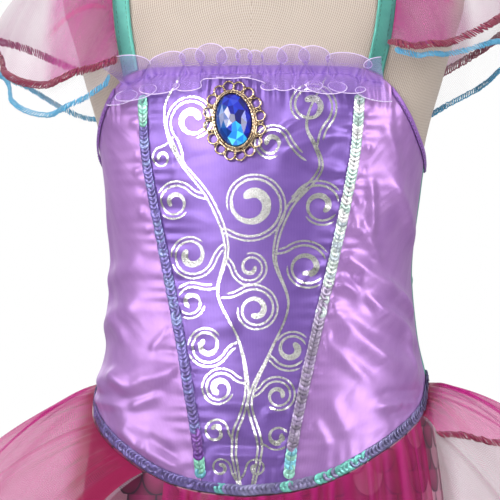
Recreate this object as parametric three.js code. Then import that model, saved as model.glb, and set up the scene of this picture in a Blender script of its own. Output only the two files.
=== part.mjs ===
// A child's princess costume dress on a limbless dress form, in millimetres, +Z up, front towards -Y.
// The origin is the centre of the stand's underside. Left and right are the wearer's, so left is +X.
import * as THREE from 'three';

// Driving dimensions
const SEAM_GAP = 0.3;          // between pieces that are sewn together
const EASE = 0.8;              // between the dress form and the cloth
const CLOTH = 1.2;             // satin and skirt cloth
const ORGANZA = 1.0;           // ruffle, sleeves and peplum
const TRIM = 1.1;              // sequin trim and bindings
const TRIM_WIDTH = 6;          // one row of 6 mm sequins
const ON_PANEL = EASE + CLOTH + SEAM_GAP;   // how far from the form a piece lying on the bodice starts
const SIDE_SEAM = 90;          // degrees round from centre front
const HALF_GAP = 0.12;         // half a seam gap, in degrees round the body
const HEM_Z = 90;
const SKIRT_WAVES = 8;
const SKIRT_DROP = 0.55;       // from the bodice's edge down to the skirt's
const BASE = { radius: 135, height: 10, bevel: 4, sides: 40 };
const POLE = { radius: 12.5, sides: 24 };

// The dress form's sections, from its underside up to the neck: half width, depth to front and back,
// and how square the outline is (2 is an ellipse).
const FORM = [
  { z: 424, half: 96, front: 66, back: 72, square: 2.3 },
  { z: 430, half: 102, front: 71, back: 78, square: 2.3 },
  { z: 445, half: 105, front: 74, back: 81, square: 2.3 },
  { z: 480, half: 107, front: 77, back: 84, square: 2.3 },
  { z: 510, half: 105.5, front: 78, back: 82, square: 2.3 },
  { z: 545, half: 101.5, front: 77, back: 76, square: 2.3 },
  { z: 579, half: 97, front: 74, back: 70, square: 2.3 },
  { z: 606, half: 91, front: 70, back: 65, square: 2.3 },
  { z: 640, half: 87.5, front: 66.5, back: 63, square: 2.3 },
  { z: 660, half: 88, front: 66, back: 64, square: 2.3 },
  { z: 690, half: 92, front: 66, back: 66, square: 2.3 },
  { z: 712, half: 95, front: 65.5, back: 66, square: 2.3 },
  { z: 734, half: 99.5, front: 63, back: 64, square: 2.3 },
  { z: 759, half: 107, front: 58, back: 61, square: 2.3 },
  { z: 780, half: 113, front: 54, back: 58, square: 2.3 },
  { z: 808, half: 121, front: 49, back: 54, square: 2.3 },
  { z: 824, half: 118, front: 46, back: 52, square: 2.3 },
  { z: 836, half: 105, front: 44, back: 50, square: 2.3 },
  { z: 848, half: 83, front: 42, back: 48, square: 2.2 },
  { z: 859, half: 58, front: 38, back: 44, square: 2.1 },
  { z: 870, half: 39, front: 35, back: 39, square: 2.0 },
  { z: 885, half: 33, front: 33, back: 34, square: 2.0 },
  { z: 901, half: 33, front: 33, back: 33, square: 2.0 },
  { z: 905, half: 29, front: 29, back: 29, square: 2.0 },
];

// The fitted skirt: the middle of its wall, close to the form and falling in soft waves below it.
const SKIRT = [
  { z: HEM_Z, half: 142, front: 120, back: 126, square: 2.0, wave: 10 },
  { z: 170, half: 128, front: 105, back: 111, square: 2.0, wave: 7 },
  { z: 260, half: 118, front: 93, back: 99, square: 2.0, wave: 4 },
  { z: 350, half: 113, front: 86, back: 92, square: 2.1, wave: 2 },
  { z: 430, half: 111, front: 82, back: 88, square: 2.2, wave: 0.5 },
  { z: 480, half: 109.4, front: 80, back: 86.8, square: 2.3, wave: 0 },
  { z: 510, half: 107.5, front: 79.8, back: 84.4, square: 2.3, wave: 0 },
  { z: 545, half: 103, front: 78.5, back: 77.5, square: 2.3, wave: 0 },
  { z: 579, half: 98.5, front: 75.5, back: 71.5, square: 2.3, wave: 0 },
  { z: 600, half: 93.4, front: 72.2, back: 67.2, square: 2.3, wave: 0 },
];

// The bodice's edges, by degrees round from centre front.
const TOP_EDGE = [
  { angle: 0, z: 768 }, { angle: 50, z: 767 }, { angle: 58, z: 763 }, { angle: 63, z: 756 },
  { angle: 69, z: 743 }, { angle: 77, z: 728 }, { angle: 88, z: 716 }, { angle: 98, z: 711 },
  { angle: 108, z: 716 }, { angle: 116, z: 729 }, { angle: 122, z: 742 }, { angle: 127, z: 748 },
  { angle: 140, z: 748 }, { angle: 180, z: 746 },
];
const BACK_CORNER = 125.5;
const BOTTOM_EDGE = [
  { angle: 0, z: 517 }, { angle: 20, z: 520 }, { angle: 35, z: 526.5 }, { angle: 50, z: 539 },
  { angle: 65, z: 553 }, { angle: 78, z: 565.5 }, { angle: 86, z: 576 }, { angle: 95, z: 581 },
  { angle: 120, z: 580 }, { angle: 150, z: 574 }, { angle: 180, z: 571 },
];
// How far each princess seam lies from the centre line.
const PRINCESS_SEAM = [
  { z: 517, x: 24.5 }, { z: 546, x: 27.6 }, { z: 576, x: 33 }, { z: 612, x: 40 },
  { z: 648, x: 47.7 }, { z: 688, x: 56 }, { z: 720, x: 61.5 }, { z: 768, x: 64.5 },
];

// Soft folds in the satin. Each starts at an angle and height, runs to another, and is so wide and so high.
const MM_PER_DEGREE = 1.5;     // round the bodice
const FOLD_CORE = 0.25;        // the share of its length, each way from the middle, at full height
const FOLD_FADE = 0.22;        // the share over which it then fades
const SEWN_FLAT = 8;           // no folds so near a seam
const SEWN_FREE = 18;          // full folds from here on
const FOLDS = [
  { angle: 44, z: 648, toAngle: 84, toZ: 622, wide: 7, high: 1.7 },
  { angle: 50, z: 628, toAngle: 86, toZ: 600, wide: 7, high: 1.9 },
  { angle: 34, z: 612, toAngle: 82, toZ: 584, wide: 8, high: 1.3 },
  { angle: 62, z: 706, toAngle: 88, toZ: 660, wide: 8, high: 1.5 },
  { angle: -86, z: 640, toAngle: -52, toZ: 652, wide: 7, high: 1.2 },
  { angle: -88, z: 610, toAngle: -50, toZ: 628, wide: 8, high: 1.7 },
  { angle: -84, z: 576, toAngle: -34, toZ: 590, wide: 8, high: 2.0 },
  { angle: -60, z: 562, toAngle: -30, toZ: 544, wide: 8, high: 1.3 },
  { angle: 14, z: 712, toAngle: 42, toZ: 728, wide: 7, high: 1.4 },
  { angle: 20, z: 736, toAngle: 44, toZ: 748, wide: 6, high: 1.2 },
  { angle: -12, z: 556, toAngle: 12, toZ: 546, wide: 7, high: 1.2 },
  { angle: 118, z: 660, toAngle: 160, toZ: 640, wide: 9, high: 1.4 },
  { angle: 105, z: 620, toAngle: 162, toZ: 610, wide: 9, high: 1.5 },
  { angle: -118, z: 664, toAngle: -160, toZ: 648, wide: 9, high: 1.4 },
  { angle: -104, z: 618, toAngle: -162, toZ: 606, wide: 9, high: 1.6 },
];

// The shoulder straps' distance from the centre, by degrees up from the front over the shoulder.
const STRAP_WIDTH = 10;
const STRAP_PIVOT_Z = 760;     // the height about which those degrees turn
const STRAP = [
  { turn: 5, x: 72 }, { turn: 50, x: 79 }, { turn: 90, x: 82 }, { turn: 140, x: 73 }, { turn: 190, x: 62 },
];

// The gathered ruffle across the front neckline. It is free above and below its stitching, and its lower
// side is lifted over the brooch. It droops from one angle out to its ends.
const RUFFLE = {
  span: 60, gatherZ: 763, above: 15, below: 12, waves: 15, depth: 4.5, flare: 2.2, droop: 5, droopFrom: 45,
  wall: 0.8, lifted: 8, liftAngle: -9, liftSpan: 15,
};

// Flounces have two layers on one seam, which runs from the front (along 0) to the back (along 1).
// A table gives the free edge of the longer under layer, and the share of its length that the upper one has.
const SLEEVE_END = 148;        // how far over the shoulder the seam runs
const SLEEVE_STAND = { start: 1.35, end: 6 };   // the upper layer off the under one, at seam and free edge
const SLEEVE_CLEAR = {                          // each layer off the form, at the seam and away from it
  upper: { atSeam: EASE + 1.8 * ORGANZA, away: 5.4 }, under: { atSeam: EASE + ORGANZA / 2, away: 3 },
};
const SLEEVES = {
  left: {
    side: 1, start: 25, waves: 5, depth: 4, hold: 0.2, bow: 0.9,
    hem: [
      { along: 0, x: 86, y: -54, z: 777, upper: 0.6 }, { along: 0.12, x: 98, y: -63, z: 774, upper: 0.86 },
      { along: 0.25, x: 110, y: -63, z: 774, upper: 0.93 },
      { along: 0.38, x: 124, y: -54, z: 776, upper: 0.92 },
      { along: 0.5, x: 140, y: -34, z: 782, upper: 0.88 },
      { along: 0.62, x: 153, y: -4, z: 784, upper: 0.82 },
      { along: 0.75, x: 146, y: 30, z: 772, upper: 0.78 },
      { along: 0.87, x: 120, y: 52, z: 756, upper: 0.74 },
      { along: 1, x: 90, y: 66, z: 740, upper: 0.7 },
    ],
  },
  right: {
    side: -1, start: 21, waves: 5, depth: 4.5, hold: 0.2, bow: 0.9,
    hem: [
      { along: 0, x: -84, y: -56, z: 762, upper: 0.5 }, { along: 0.1, x: -90, y: -64, z: 754, upper: 0.7 },
      { along: 0.2, x: -101, y: -68, z: 747, upper: 0.79 },
      { along: 0.3, x: -115, y: -68, z: 741, upper: 0.86 },
      { along: 0.4, x: -129, y: -60, z: 741, upper: 0.89 },
      { along: 0.5, x: -145, y: -42, z: 752, upper: 0.9 },
      { along: 0.62, x: -161, y: -10, z: 767, upper: 0.88 },
      { along: 0.75, x: -154, y: 28, z: 761, upper: 0.8 },
      { along: 0.87, x: -116, y: 58, z: 741, upper: 0.74 }, { along: 1, x: -88, y: 66, z: 748, upper: 0.7 },
    ],
  },
};

// The peplum's seam runs between two places round the basque edge.
const PEPLUM_DROP = 3;         // from the bodice's edge down to the peplum's seam
const PEPLUM_STAND = { start: 1.4, end: 8 };
const PEPLUMS = {
  left: {
    side: 1, start: 76, end: 179, waves: 6, depth: 7, hold: 0.08, bow: 0.55,
    hem: [
      { along: 0, x: 128, y: -62, z: 470, upper: 0.3 },
      { along: 0.1, x: 162, y: -58, z: 480, upper: 0.5 },
      { along: 0.2, x: 190, y: -42, z: 488, upper: 0.64 },
      { along: 0.32, x: 206, y: -16, z: 492, upper: 0.76 },
      { along: 0.46, x: 208, y: 22, z: 482, upper: 0.84 },
      { along: 0.6, x: 192, y: 66, z: 456, upper: 0.86 },
      { along: 0.75, x: 152, y: 112, z: 430, upper: 0.86 },
      { along: 0.88, x: 90, y: 142, z: 412, upper: 0.86 },
      { along: 1, x: 3.5, y: 151, z: 403, upper: 0.86 },
    ],
  },
  right: {
    side: -1, start: 42, end: 179, waves: 7, depth: 7, hold: 0.2, bow: 0.55,
    hem: [
      { along: 0, x: -128, y: -104, z: 424, upper: 0.82 },
      { along: 0.1, x: -168, y: -90, z: 428, upper: 0.82 },
      { along: 0.2, x: -214, y: -50, z: 442, upper: 0.84 },
      { along: 0.34, x: -226, y: -10, z: 448, upper: 0.86 },
      { along: 0.5, x: -212, y: 46, z: 436, upper: 0.86 },
      { along: 0.68, x: -164, y: 104, z: 420, upper: 0.86 },
      { along: 0.84, x: -92, y: 140, z: 408, upper: 0.86 },
      { along: 1, x: -3.5, y: 151, z: 403, upper: 0.86 },
    ],
  },
};

// The gathered overlay on the front of the skirt, between the two sides of the peplum.
const OVERLAY = { start: -33, end: 73, waves: 6, hemZ: 412, fall: 26, stand: 5, depth: 3 };

// The brooch: its place on the front, the lean of its top to the wearer's right, plate, bezel and stone.
const BROOCH = {
  angle: -7, z: 735, lean: 11, seat: 0.5, plate: 1.4,
  loops: 16, loopHalf: 15.2, loopHigh: 20.8, loopRadius: 3.3, sidesPerLoop: 6,
  holeRadius: 2.1, holeSides: 6,
  stoneHalf: 10.3, stoneHigh: 15.5, stoneHeight: 7, stoneSides: 20, bezelWide: 1.5, bezelHeight: 2.6,
};
// The stone's rings of facets, as shares of its size and height, each turned by a share of one facet.
const STONE = [
  { size: 1, height: 0, shift: 0 }, { size: 1, height: 0.35, shift: 0 },
  { size: 0.8, height: 0.66, shift: 0.5 }, { size: 0.5, height: 0.9, shift: 0 },
  { size: 0.26, height: 1, shift: 0.5 },
];

// Helpers for curves through tables and for surfaces
const { lerp, degToRad, radToDeg, clamp, smoothstep, euclideanModulo } = THREE.MathUtils;
const place = (x, y, z) => new THREE.Vector3(x, y, z);
const up = place(0, 0, 1);
const steps = (count) => Array.from({ length: count + 1 }, (_, i) => i / count);
const around = (count) => steps(count).slice(0, -1);
const wrapped = (angle) => euclideanModulo(angle + 180, 360) - 180;

// One named column of a table, at a place along another that rises, on a smooth curve through its rows.
function column(table, key, at, name) {
  let i = 0;
  while (i < table.length - 2 && at > table[i + 1][key]) i++;
  const [a, b] = [table[i], table[i + 1]];
  const before = table[Math.max(0, i - 1)];
  const after = table[Math.min(table.length - 1, i + 2)];
  const span = b[key] - a[key];
  const t = clamp((at - a[key]) / span, 0, 1);
  const slopeA = (b[name] - before[name]) / (b[key] - before[key]) * span;
  const slopeB = (after[name] - a[name]) / (after[key] - a[key]) * span;
  return (2 * t ** 3 - 3 * t ** 2 + 1) * a[name] + (t ** 3 - 2 * t ** 2 + t) * slopeA
    + (3 * t ** 2 - 2 * t ** 3) * b[name] + (t ** 3 - t ** 2) * slopeB;
}

// The point of a sectioned body at so many degrees round from centre front.
function sectionPoint(table, angle, z) {
  const sine = Math.sin(degToRad(angle));
  const cosine = Math.cos(degToRad(angle));
  const half = column(table, 'z', z, 'half');
  const depth = column(table, 'z', z, cosine > 0 ? 'front' : 'back');
  const square = column(table, 'z', z, 'square');
  const radius = (Math.abs(sine / half) ** square + Math.abs(cosine / depth) ** square) ** (-1 / square);
  return place(radius * sine, -radius * cosine, z);
}

// A point of the body moved out along its normal.
function bodyPoint(table, angle, z, out) {
  const across = sectionPoint(table, angle + 0.5, z).sub(sectionPoint(table, angle - 0.5, z));
  const rise = sectionPoint(table, angle, z + 0.5).sub(sectionPoint(table, angle, z - 0.5));
  return sectionPoint(table, angle, z).addScaledVector(across.cross(rise).normalize(), out);
}

const angleOf = (p) => radToDeg(Math.atan2(p.x, -p.y));

// How far a point lies outside a sectioned body, measured level.
function outside(table, p) {
  const surface = sectionPoint(table, angleOf(p), p.z);
  return Math.hypot(p.x, p.y) - Math.hypot(surface.x, surface.y);
}

// The point moved, where needed, until it is so far clear of a sectioned body.
function clearOf(table, point, margin) {
  const p = point.clone();
  const small = 0.1;
  for (let i = 0; i < 5; i++) {
    const here = outside(table, p);
    const slope = place(
      outside(table, place(p.x + small, p.y, p.z)) - here,
      outside(table, place(p.x, p.y + small, p.z)) - here,
      outside(table, place(p.x, p.y, p.z + small)) - here,
    ).divideScalar(small);
    const short = margin - here / slope.length();
    if (short > 0) p.addScaledVector(slope.normalize(), short);
  }
  return p;
}

// Closed solid between two grids of points. A wrapped grid joins its last column to its first.
function solidBetween(outer, inner, wrap = false) {
  const rows = outer.length;
  const columns = outer[0].length;
  const spans = wrap ? columns : columns - 1;
  const faces = [];
  const quad = (a, b, c, d) => faces.push(a, b, c, a, c, d);
  const at = (layer, i, j) => (layer * rows + i) * columns + (j % columns);
  for (let i = 0; i < rows - 1; i++) {
    for (let j = 0; j < spans; j++) {
      quad(at(0, i, j), at(0, i, j + 1), at(0, i + 1, j + 1), at(0, i + 1, j));
      quad(at(1, i, j), at(1, i + 1, j), at(1, i + 1, j + 1), at(1, i, j + 1));
    }
    if (!wrap) {
      quad(at(0, i, 0), at(0, i + 1, 0), at(1, i + 1, 0), at(1, i, 0));
      quad(at(0, i + 1, spans), at(0, i, spans), at(1, i, spans), at(1, i + 1, spans));
    }
  }
  for (let j = 0; j < spans; j++) {
    quad(at(1, 0, j), at(1, 0, j + 1), at(0, 0, j + 1), at(0, 0, j));
    quad(at(0, rows - 1, j), at(0, rows - 1, j + 1), at(1, rows - 1, j + 1), at(1, rows - 1, j));
  }
  return facingOut([...outer.flat(), ...inner.flat()], faces);
}

// Closed solid through a stack of rings, with flat ends.
function solidThrough(rings) {
  const count = rings[0].length;
  const middle = (ring) => ring.reduce((sum, p) => sum.add(p), place(0, 0, 0)).divideScalar(count);
  const points = [...rings.flat(), middle(rings[0]), middle(rings[rings.length - 1])];
  const last = (rings.length - 1) * count;
  const faces = [];
  for (let j = 0; j < count; j++) {
    const next = (j + 1) % count;
    for (let a = 0; a < last; a += count) {
      const b = a + count;
      faces.push(a + j, a + next, b + next, a + j, b + next, b + j);
    }
    faces.push(points.length - 2, next, j, points.length - 1, last + j, last + next);
  }
  return facingOut(points, faces);
}

// Geometry whose faces point outwards, whichever way round its points ran.
function facingOut(points, faces) {
  let volume = 0;
  for (let k = 0; k < faces.length; k += 3) {
    const [a, b, c] = faces.slice(k, k + 3).map((index) => points[index]);
    volume += a.dot(b.clone().cross(c));
  }
  if (volume < 0) faces.reverse();
  const geometry = new THREE.BufferGeometry().setFromPoints(points);
  geometry.setIndex(faces);
  geometry.computeVertexNormals();
  return geometry;
}

const grid = (across, high, point) => steps(high).map((v) => steps(across).map((u) => point(u, v)));

// The way a surface faces, where it is a function of two shares.
function facing(surface, u, v) {
  const small = 1e-3;
  const side = surface(u + small, v).sub(surface(u - small, v));
  return side.cross(surface(u, v + small).sub(surface(u, v - small))).normalize();
}

// A wall of even thickness, half on each side of a surface.
function wall(across, high, thickness, surface) {
  const moved = (by) => (u, v) => surface(u, v).addScaledVector(facing(surface, u, v), by);
  return solidBetween(grid(across, high, moved(thickness / 2)), grid(across, high, moved(-thickness / 2)));
}

// Finishes
const finish = (color, roughness, metalness = 0) => (
  new THREE.MeshStandardMaterial({ color, roughness, metalness, side: THREE.DoubleSide })
);
const lilacSatin = finish('#c9a8e0', 0.35);
const lavenderSatin = finish('#a98bd2', 0.35);
const purpleSatin = finish('#a273c6', 0.4);
const tealSatin = finish('#3f9c8f', 0.45);
const lavenderOrganza = finish('#b99bdc', 0.6);
const magentaOrganza = finish('#cf5b98', 0.6);
const paleOrganza = finish('#e6dcea', 0.6);
const scalePrint = finish('#8c2458', 0.5);
const sequins = finish('#9fb4dd', 0.2, 0.4);
const goldPlate = finish('#c9a983', 0.3, 0.9);
const blueGem = finish('#1233c8', 0.1);
const jersey = finish('#c5b5a6', 0.9);
const paintedSteel = finish('#d9d7d2', 0.4, 0.3);

const dress = new THREE.Group();
function add(name, geometry, material, parent = dress) {
  const mesh = new THREE.Mesh(geometry, material);
  mesh.name = name;
  parent.add(mesh);
  return mesh;
}

// Dress form: rings closer together where its outline turns
const FORM_SIDES = 32;
const FORM_STEP = 24;
const formHeights = FORM.slice(0, -1).flatMap((row, i) => {
  const next = FORM[i + 1];
  const count = Math.ceil(Math.hypot(next.z - row.z, next.half - row.half) / FORM_STEP);
  return around(count).map((share) => lerp(row.z, next.z, share));
});
formHeights.push(FORM[FORM.length - 1].z);
const formRing = (z) => around(FORM_SIDES).map((turn) => sectionPoint(FORM, turn * 360, z));
add('form_torso', solidThrough(formHeights.map(formRing)), jersey);

// Stand
const poleLength = FORM[0].z - BASE.height - 2 * SEAM_GAP;
const poleShape = new THREE.CylinderGeometry(POLE.radius, POLE.radius, poleLength, POLE.sides);
const pole = add('stand_pole', poleShape, paintedSteel);
pole.rotation.x = Math.PI / 2;
pole.position.z = BASE.height + SEAM_GAP + poleLength / 2;
const baseProfile = [
  [0, 0], [BASE.radius, 0], [BASE.radius, BASE.height - BASE.bevel],
  [BASE.radius - BASE.bevel, BASE.height], [0, BASE.height],
].map(([radius, height]) => new THREE.Vector2(radius, height));
const base = add('stand_base', new THREE.LatheGeometry(baseProfile, BASE.sides), paintedSteel);
base.rotation.x = Math.PI / 2;

// Bodice
const topEdge = (angle) => column(TOP_EDGE, 'angle', Math.abs(wrapped(angle)), 'z');
const bottomEdge = (angle) => column(BOTTOM_EDGE, 'angle', Math.abs(wrapped(angle)), 'z');
const princessX = (z) => column(PRINCESS_SEAM, 'z', z, 'x');

// Degrees round at which the front of the form is so far to the side.
function angleAt(x, z) {
  let [low, high] = [0, 89];
  for (let i = 0; i < 24; i++) {
    const middle = (low + high) / 2;
    if (sectionPoint(FORM, middle, z).x < x) low = middle;
    else high = middle;
  }
  return low;
}

// How far the satin stands off its smooth shape. Folds fade out where another piece is sewn on.
function foldHeight(angle, z) {
  const from = wrapped(angle);
  let height = 0;
  for (const fold of FOLDS) {
    const run = new THREE.Vector2((fold.toAngle - fold.angle) * MM_PER_DEGREE, fold.toZ - fold.z);
    const here = new THREE.Vector2((from - fold.angle) * MM_PER_DEGREE, z - fold.z);
    const beyond = Math.max(0, Math.abs(here.dot(run) / run.lengthSq() - 0.5) - FOLD_CORE);
    const aside = here.cross(run) / run.length();
    height += fold.high * Math.exp(-((beyond / FOLD_FADE) ** 2) - (aside / fold.wide) ** 2);
  }
  const frontX = Math.abs(from) < SIDE_SEAM ? Math.abs(sectionPoint(FORM, from, z).x) : Infinity;
  const nearest = Math.min(
    Math.abs(frontX - princessX(z)), (180 - Math.abs(from)) * MM_PER_DEGREE,
    0.75 * (z - bottomEdge(angle)), topEdge(angle) - z,
  );
  return height * smoothstep(nearest, SEWN_FLAT, SEWN_FREE);
}

const satinPoint = (angle, z, out) => bodyPoint(FORM, angle, z, out + foldHeight(angle, z));

// A panel between two seams, from the basque edge up to the neck and armhole.
function panel(across, high, start, end) {
  const layer = (out) => grid(across, high, (u, v) => {
    let [angle, z] = [0, 640];
    for (let i = 0; i < 8; i++) {
      angle = lerp(start(z), end(z), u);
      z = lerp(bottomEdge(angle), topEdge(angle), v);
    }
    return satinPoint(angle, z, out);
  });
  return solidBetween(layer(EASE + CLOTH), layer(EASE));
}

const seamAngle = (side, z) => side * angleAt(princessX(z), z);
const centreSeam = (side) => (z) => seamAngle(side, z) - side * HALF_GAP;
add('centre_front', panel(10, 16, centreSeam(-1), centreSeam(1)), lavenderSatin);
for (const [name, side] of [['left', 1], ['right', -1]]) {
  const fromPrincess = (z) => seamAngle(side, z) + side * HALF_GAP;
  const toSide = () => side * (SIDE_SEAM - HALF_GAP);
  add(`side_front_${name}`, panel(8, 18, fromPrincess, toSide), lilacSatin);
  const fromSide = () => side * (SIDE_SEAM + HALF_GAP);
  const toBack = () => side * (180 - HALF_GAP);
  add(`back_${name}`, panel(11, 13, fromSide, toBack), tealSatin);
}

// A strip lying on the panels, between two edges that give degrees round and height.
function stripOnPanels(count, edges, wrap = false) {
  const shares = wrap ? around(count) : steps(count);
  const layer = (out) => edges.map((edge) => shares.map((share) => {
    const { angle, z } = edge(share);
    return satinPoint(angle, z, out);
  }));
  return solidBetween(layer(ON_PANEL + TRIM), layer(ON_PANEL), wrap);
}

// Sequin trim over both princess seams and all round the basque edge
const TRIM_TOP = 752;
const TRIM_BOTTOM = bottomEdge(22) + TRIM_WIDTH + SEAM_GAP;
for (const [name, side] of [['left', 1], ['right', -1]]) {
  const edge = (offset) => (share) => {
    const z = lerp(TRIM_BOTTOM, TRIM_TOP, share);
    return { angle: side * angleAt(princessX(z) + offset, z), z };
  };
  add(`sequin_trim_${name}`, stripOnPanels(24, [edge(-TRIM_WIDTH / 2), edge(TRIM_WIDTH / 2)]), sequins);
}
const basqueEdge = (rise) => (turn) => ({ angle: turn * 360, z: bottomEdge(turn * 360) + rise });
add('sequin_trim_waist', stripOnPanels(56, [basqueEdge(SEAM_GAP), basqueEdge(TRIM_WIDTH)], true), sequins);

// Satin binding along the armholes and the back neck, and the lapped back closing
const BINDING_WIDTH = 4.5;
const BINDING_START = 63;
const boundEdge = (from, to, drop) => (share) => {
  const angle = lerp(from, to, share);
  return { angle, z: topEdge(angle) - drop };
};
const binding = (count, from, to) => (
  stripOnPanels(count, [boundEdge(from, to, BINDING_WIDTH), boundEdge(from, to, 0)])
);
for (const [name, side] of [['left', 1], ['right', -1]]) {
  add(`armhole_binding_${name}`, binding(22, side * BINDING_START, side * BACK_CORNER), purpleSatin);
}
const neckStart = BACK_CORNER + 3 * HALF_GAP;
add('back_neck_binding', binding(14, neckStart, 360 - neckStart), tealSatin);
const PLACKET_HALF = 7;        // degrees each side of centre back
const PLACKET_END = 1;         // from its ends to the trim and the binding
const placketEdge = (angle) => (share) => ({
  angle,
  z: lerp(bottomEdge(180) + TRIM_WIDTH + PLACKET_END, topEdge(180) - BINDING_WIDTH - PLACKET_END, share),
});
const placketEdges = [placketEdge(180 - PLACKET_HALF), placketEdge(180 + PLACKET_HALF)];
add('back_placket', stripOnPanels(14, placketEdges), tealSatin);

// Shoulder straps, from the front edge of the bodice over the form's shoulder to the back edge.
// A place on the left one is its distance aside from the strap's middle and degrees up from the front.
const SHOULDER_REACH = 140;    // farther from the pivot than any of the form there
function overShoulder(aside, turn, out) {
  const x = column(STRAP, 'turn', turn, 'x') + aside;
  const ray = place(0, -Math.cos(degToRad(turn)), Math.sin(degToRad(turn)));
  const reach = (distance) => place(x, 0, STRAP_PIVOT_Z).addScaledVector(ray, distance);
  let [low, high] = [1, SHOULDER_REACH];
  for (let i = 0; i < 24; i++) {
    const middle = (low + high) / 2;
    if (outside(FORM, reach(middle)) < 0) low = middle;
    else high = middle;
  }
  return clearOf(FORM, reach(low), out);
}

// The turn at which that place comes down to the bodice's top edge, between two turns.
function turnAtEdge(aside, below, above) {
  let [low, high] = [below, above];
  for (let i = 0; i < 20; i++) {
    const middle = (low + high) / 2;
    const p = overShoulder(aside, middle, EASE);
    if (p.z < topEdge(angleOf(p)) + 2 * SEAM_GAP) low = middle;
    else high = middle;
  }
  return high;
}

const mirrored = (p, side) => place(side * p.x, p.y, p.z);
for (const [name, side] of [['left', 1], ['right', -1]]) {
  const ends = [-STRAP_WIDTH / 2, STRAP_WIDTH / 2].map((aside) => (
    { aside, start: turnAtEdge(aside, -12, 40), end: turnAtEdge(aside, 200, 140) }
  ));
  const layer = (out) => ends.map(({ aside, start, end }) => (
    steps(26).map((share) => mirrored(overShoulder(aside, lerp(start, end, share), out), side))
  ));
  add(`strap_${name}`, solidBetween(layer(EASE + CLOTH), layer(EASE)), tealSatin);
}

// Neck ruffle: a gathered strip with both edges free and uneven waves
function rufflePoint(u, v) {
  const angle = lerp(-RUFFLE.span, RUFFLE.span, u);
  const away = 2 * v - 1;      // -1 at the lower edge, 0 at the gathers, 1 at the upper edge
  const droop = RUFFLE.droop * smoothstep(Math.abs(angle), RUFFLE.droopFrom, RUFFLE.span);
  const phase = 2 * Math.PI * RUFFLE.waves * u + 0.5 * away + 0.9 * Math.sin(9 * u);
  const wave = (1 + Math.sin(phase)) / 2 * RUFFLE.depth;
  const lift = ON_PANEL + ORGANZA / 2 + (RUFFLE.flare + wave) * Math.abs(away);
  const beside = Math.abs(angle - RUFFLE.liftAngle) / RUFFLE.liftSpan;
  const below = RUFFLE.below - RUFFLE.lifted * (1 - smoothstep(beside, 0.8, 1.2));
  return bodyPoint(FORM, angle, RUFFLE.gatherZ - droop + away * (away > 0 ? RUFFLE.above : below), lift);
}
add('neck_ruffle', wall(75, 4, RUFFLE.wall, rufflePoint), lavenderOrganza);

// The surface of one layer of a flounce. It leaves the seam outwards, then falls to its free edge,
// and its waves grow towards that edge. A larger bow sends it farther out before it falls, and a larger hold
// lets it fall sooner. The upper layer stands off the under one.
function flounceSurface({ side, seam, hem, waves, depth, hold, bow, stand }, isUpper) {
  const seamCurve = new THREE.CatmullRomCurve3(steps(30).map(seam));
  const smooth = (u, v) => {
    const along = clamp(u, 0, 1);
    const from = seamCurve.getPoint(along);
    const to = place(...['x', 'y', 'z'].map((name) => column(hem, 'along', along, name)));
    const bend = from.clone().lerp(to, bow).setZ(lerp(from.z, to.z, hold));
    from.multiplyScalar((1 - v) ** 2);
    return from.addScaledVector(bend, 2 * v * (1 - v)).addScaledVector(to, v * v);
  };
  return (u, v) => {
    const along = clamp(u, 0, 1);
    const reach = isUpper ? v * column(hem, 'along', along, 'upper') : v;
    const out = facing(smooth, clamp(along, 0.002, 0.998), clamp(reach, 0.02, 0.98)).multiplyScalar(-side);
    const taper = Math.sin(Math.PI * along) ** 0.5;
    const wave = depth * taper * Math.sin(2 * Math.PI * waves * along + 0.8 * Math.sin(7 * along));
    const lift = isUpper ? stand.start + stand.end * reach : 0;
    return smooth(along, reach).addScaledVector(out, wave * reach + lift);
  };
}

// Sleeves: two flounces on each strap's outer edge
for (const [name, spec] of Object.entries(SLEEVES)) {
  const aside = STRAP_WIDTH / 2 + 3.2 * SEAM_GAP;
  const seam = (along) => (
    mirrored(overShoulder(aside, lerp(spec.start, SLEEVE_END, along), EASE + ORGANZA / 2), spec.side)
  );
  const flounce = { ...spec, seam, stand: SLEEVE_STAND };
  for (const [layer, material] of [['upper', magentaOrganza], ['under', paleOrganza]]) {
    const { atSeam, away } = SLEEVE_CLEAR[layer];
    const surface = flounceSurface(flounce, layer === 'upper');
    const margin = (v) => lerp(atSeam, away, clamp(4 * v, 0, 1));
    const shape = wall(22, 4, ORGANZA, (u, v) => clearOf(FORM, surface(u, v), margin(v)));
    add(`sleeve_${name}_${layer}`, shape, material);
  }
}

// Skirt: front and back halves from the basque seam to the hem
function skirtPoint(angle, v) {
  const z = lerp(HEM_Z, bottomEdge(angle) - SKIRT_DROP, 1 - Math.max(0, 1 - v) ** 1.4);
  const turn = SKIRT_WAVES * angle + 25 * Math.sin(degToRad(2 * angle));
  return bodyPoint(SKIRT, angle, z, column(SKIRT, 'z', z, 'wave') * Math.cos(degToRad(turn)));
}
for (const [name, centre] of [['front', 0], ['back', 180]]) {
  const start = centre - SIDE_SEAM + HALF_GAP;
  const end = centre + SIDE_SEAM - HALF_GAP;
  add(`skirt_${name}`, wall(20, 8, CLOTH, (u, v) => skirtPoint(lerp(start, end, u), v)), scalePrint);
}

// Peplum: two flounces on each hip, sewn in under the basque edge
for (const [name, spec] of Object.entries(PEPLUMS)) {
  const seam = (along) => {
    const angle = spec.side * lerp(spec.start, spec.end, along);
    return bodyPoint(FORM, angle, bottomEdge(angle) - PEPLUM_DROP, ON_PANEL + SEAM_GAP);
  };
  const flounce = { ...spec, seam, stand: PEPLUM_STAND };
  for (const [layer, material] of [['upper', magentaOrganza], ['under', paleOrganza]]) {
    const surface = flounceSurface(flounce, layer === 'upper');
    add(`peplum_${name}_${layer}`, wall(28, 4, ORGANZA, surface), material);
  }
}

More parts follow.
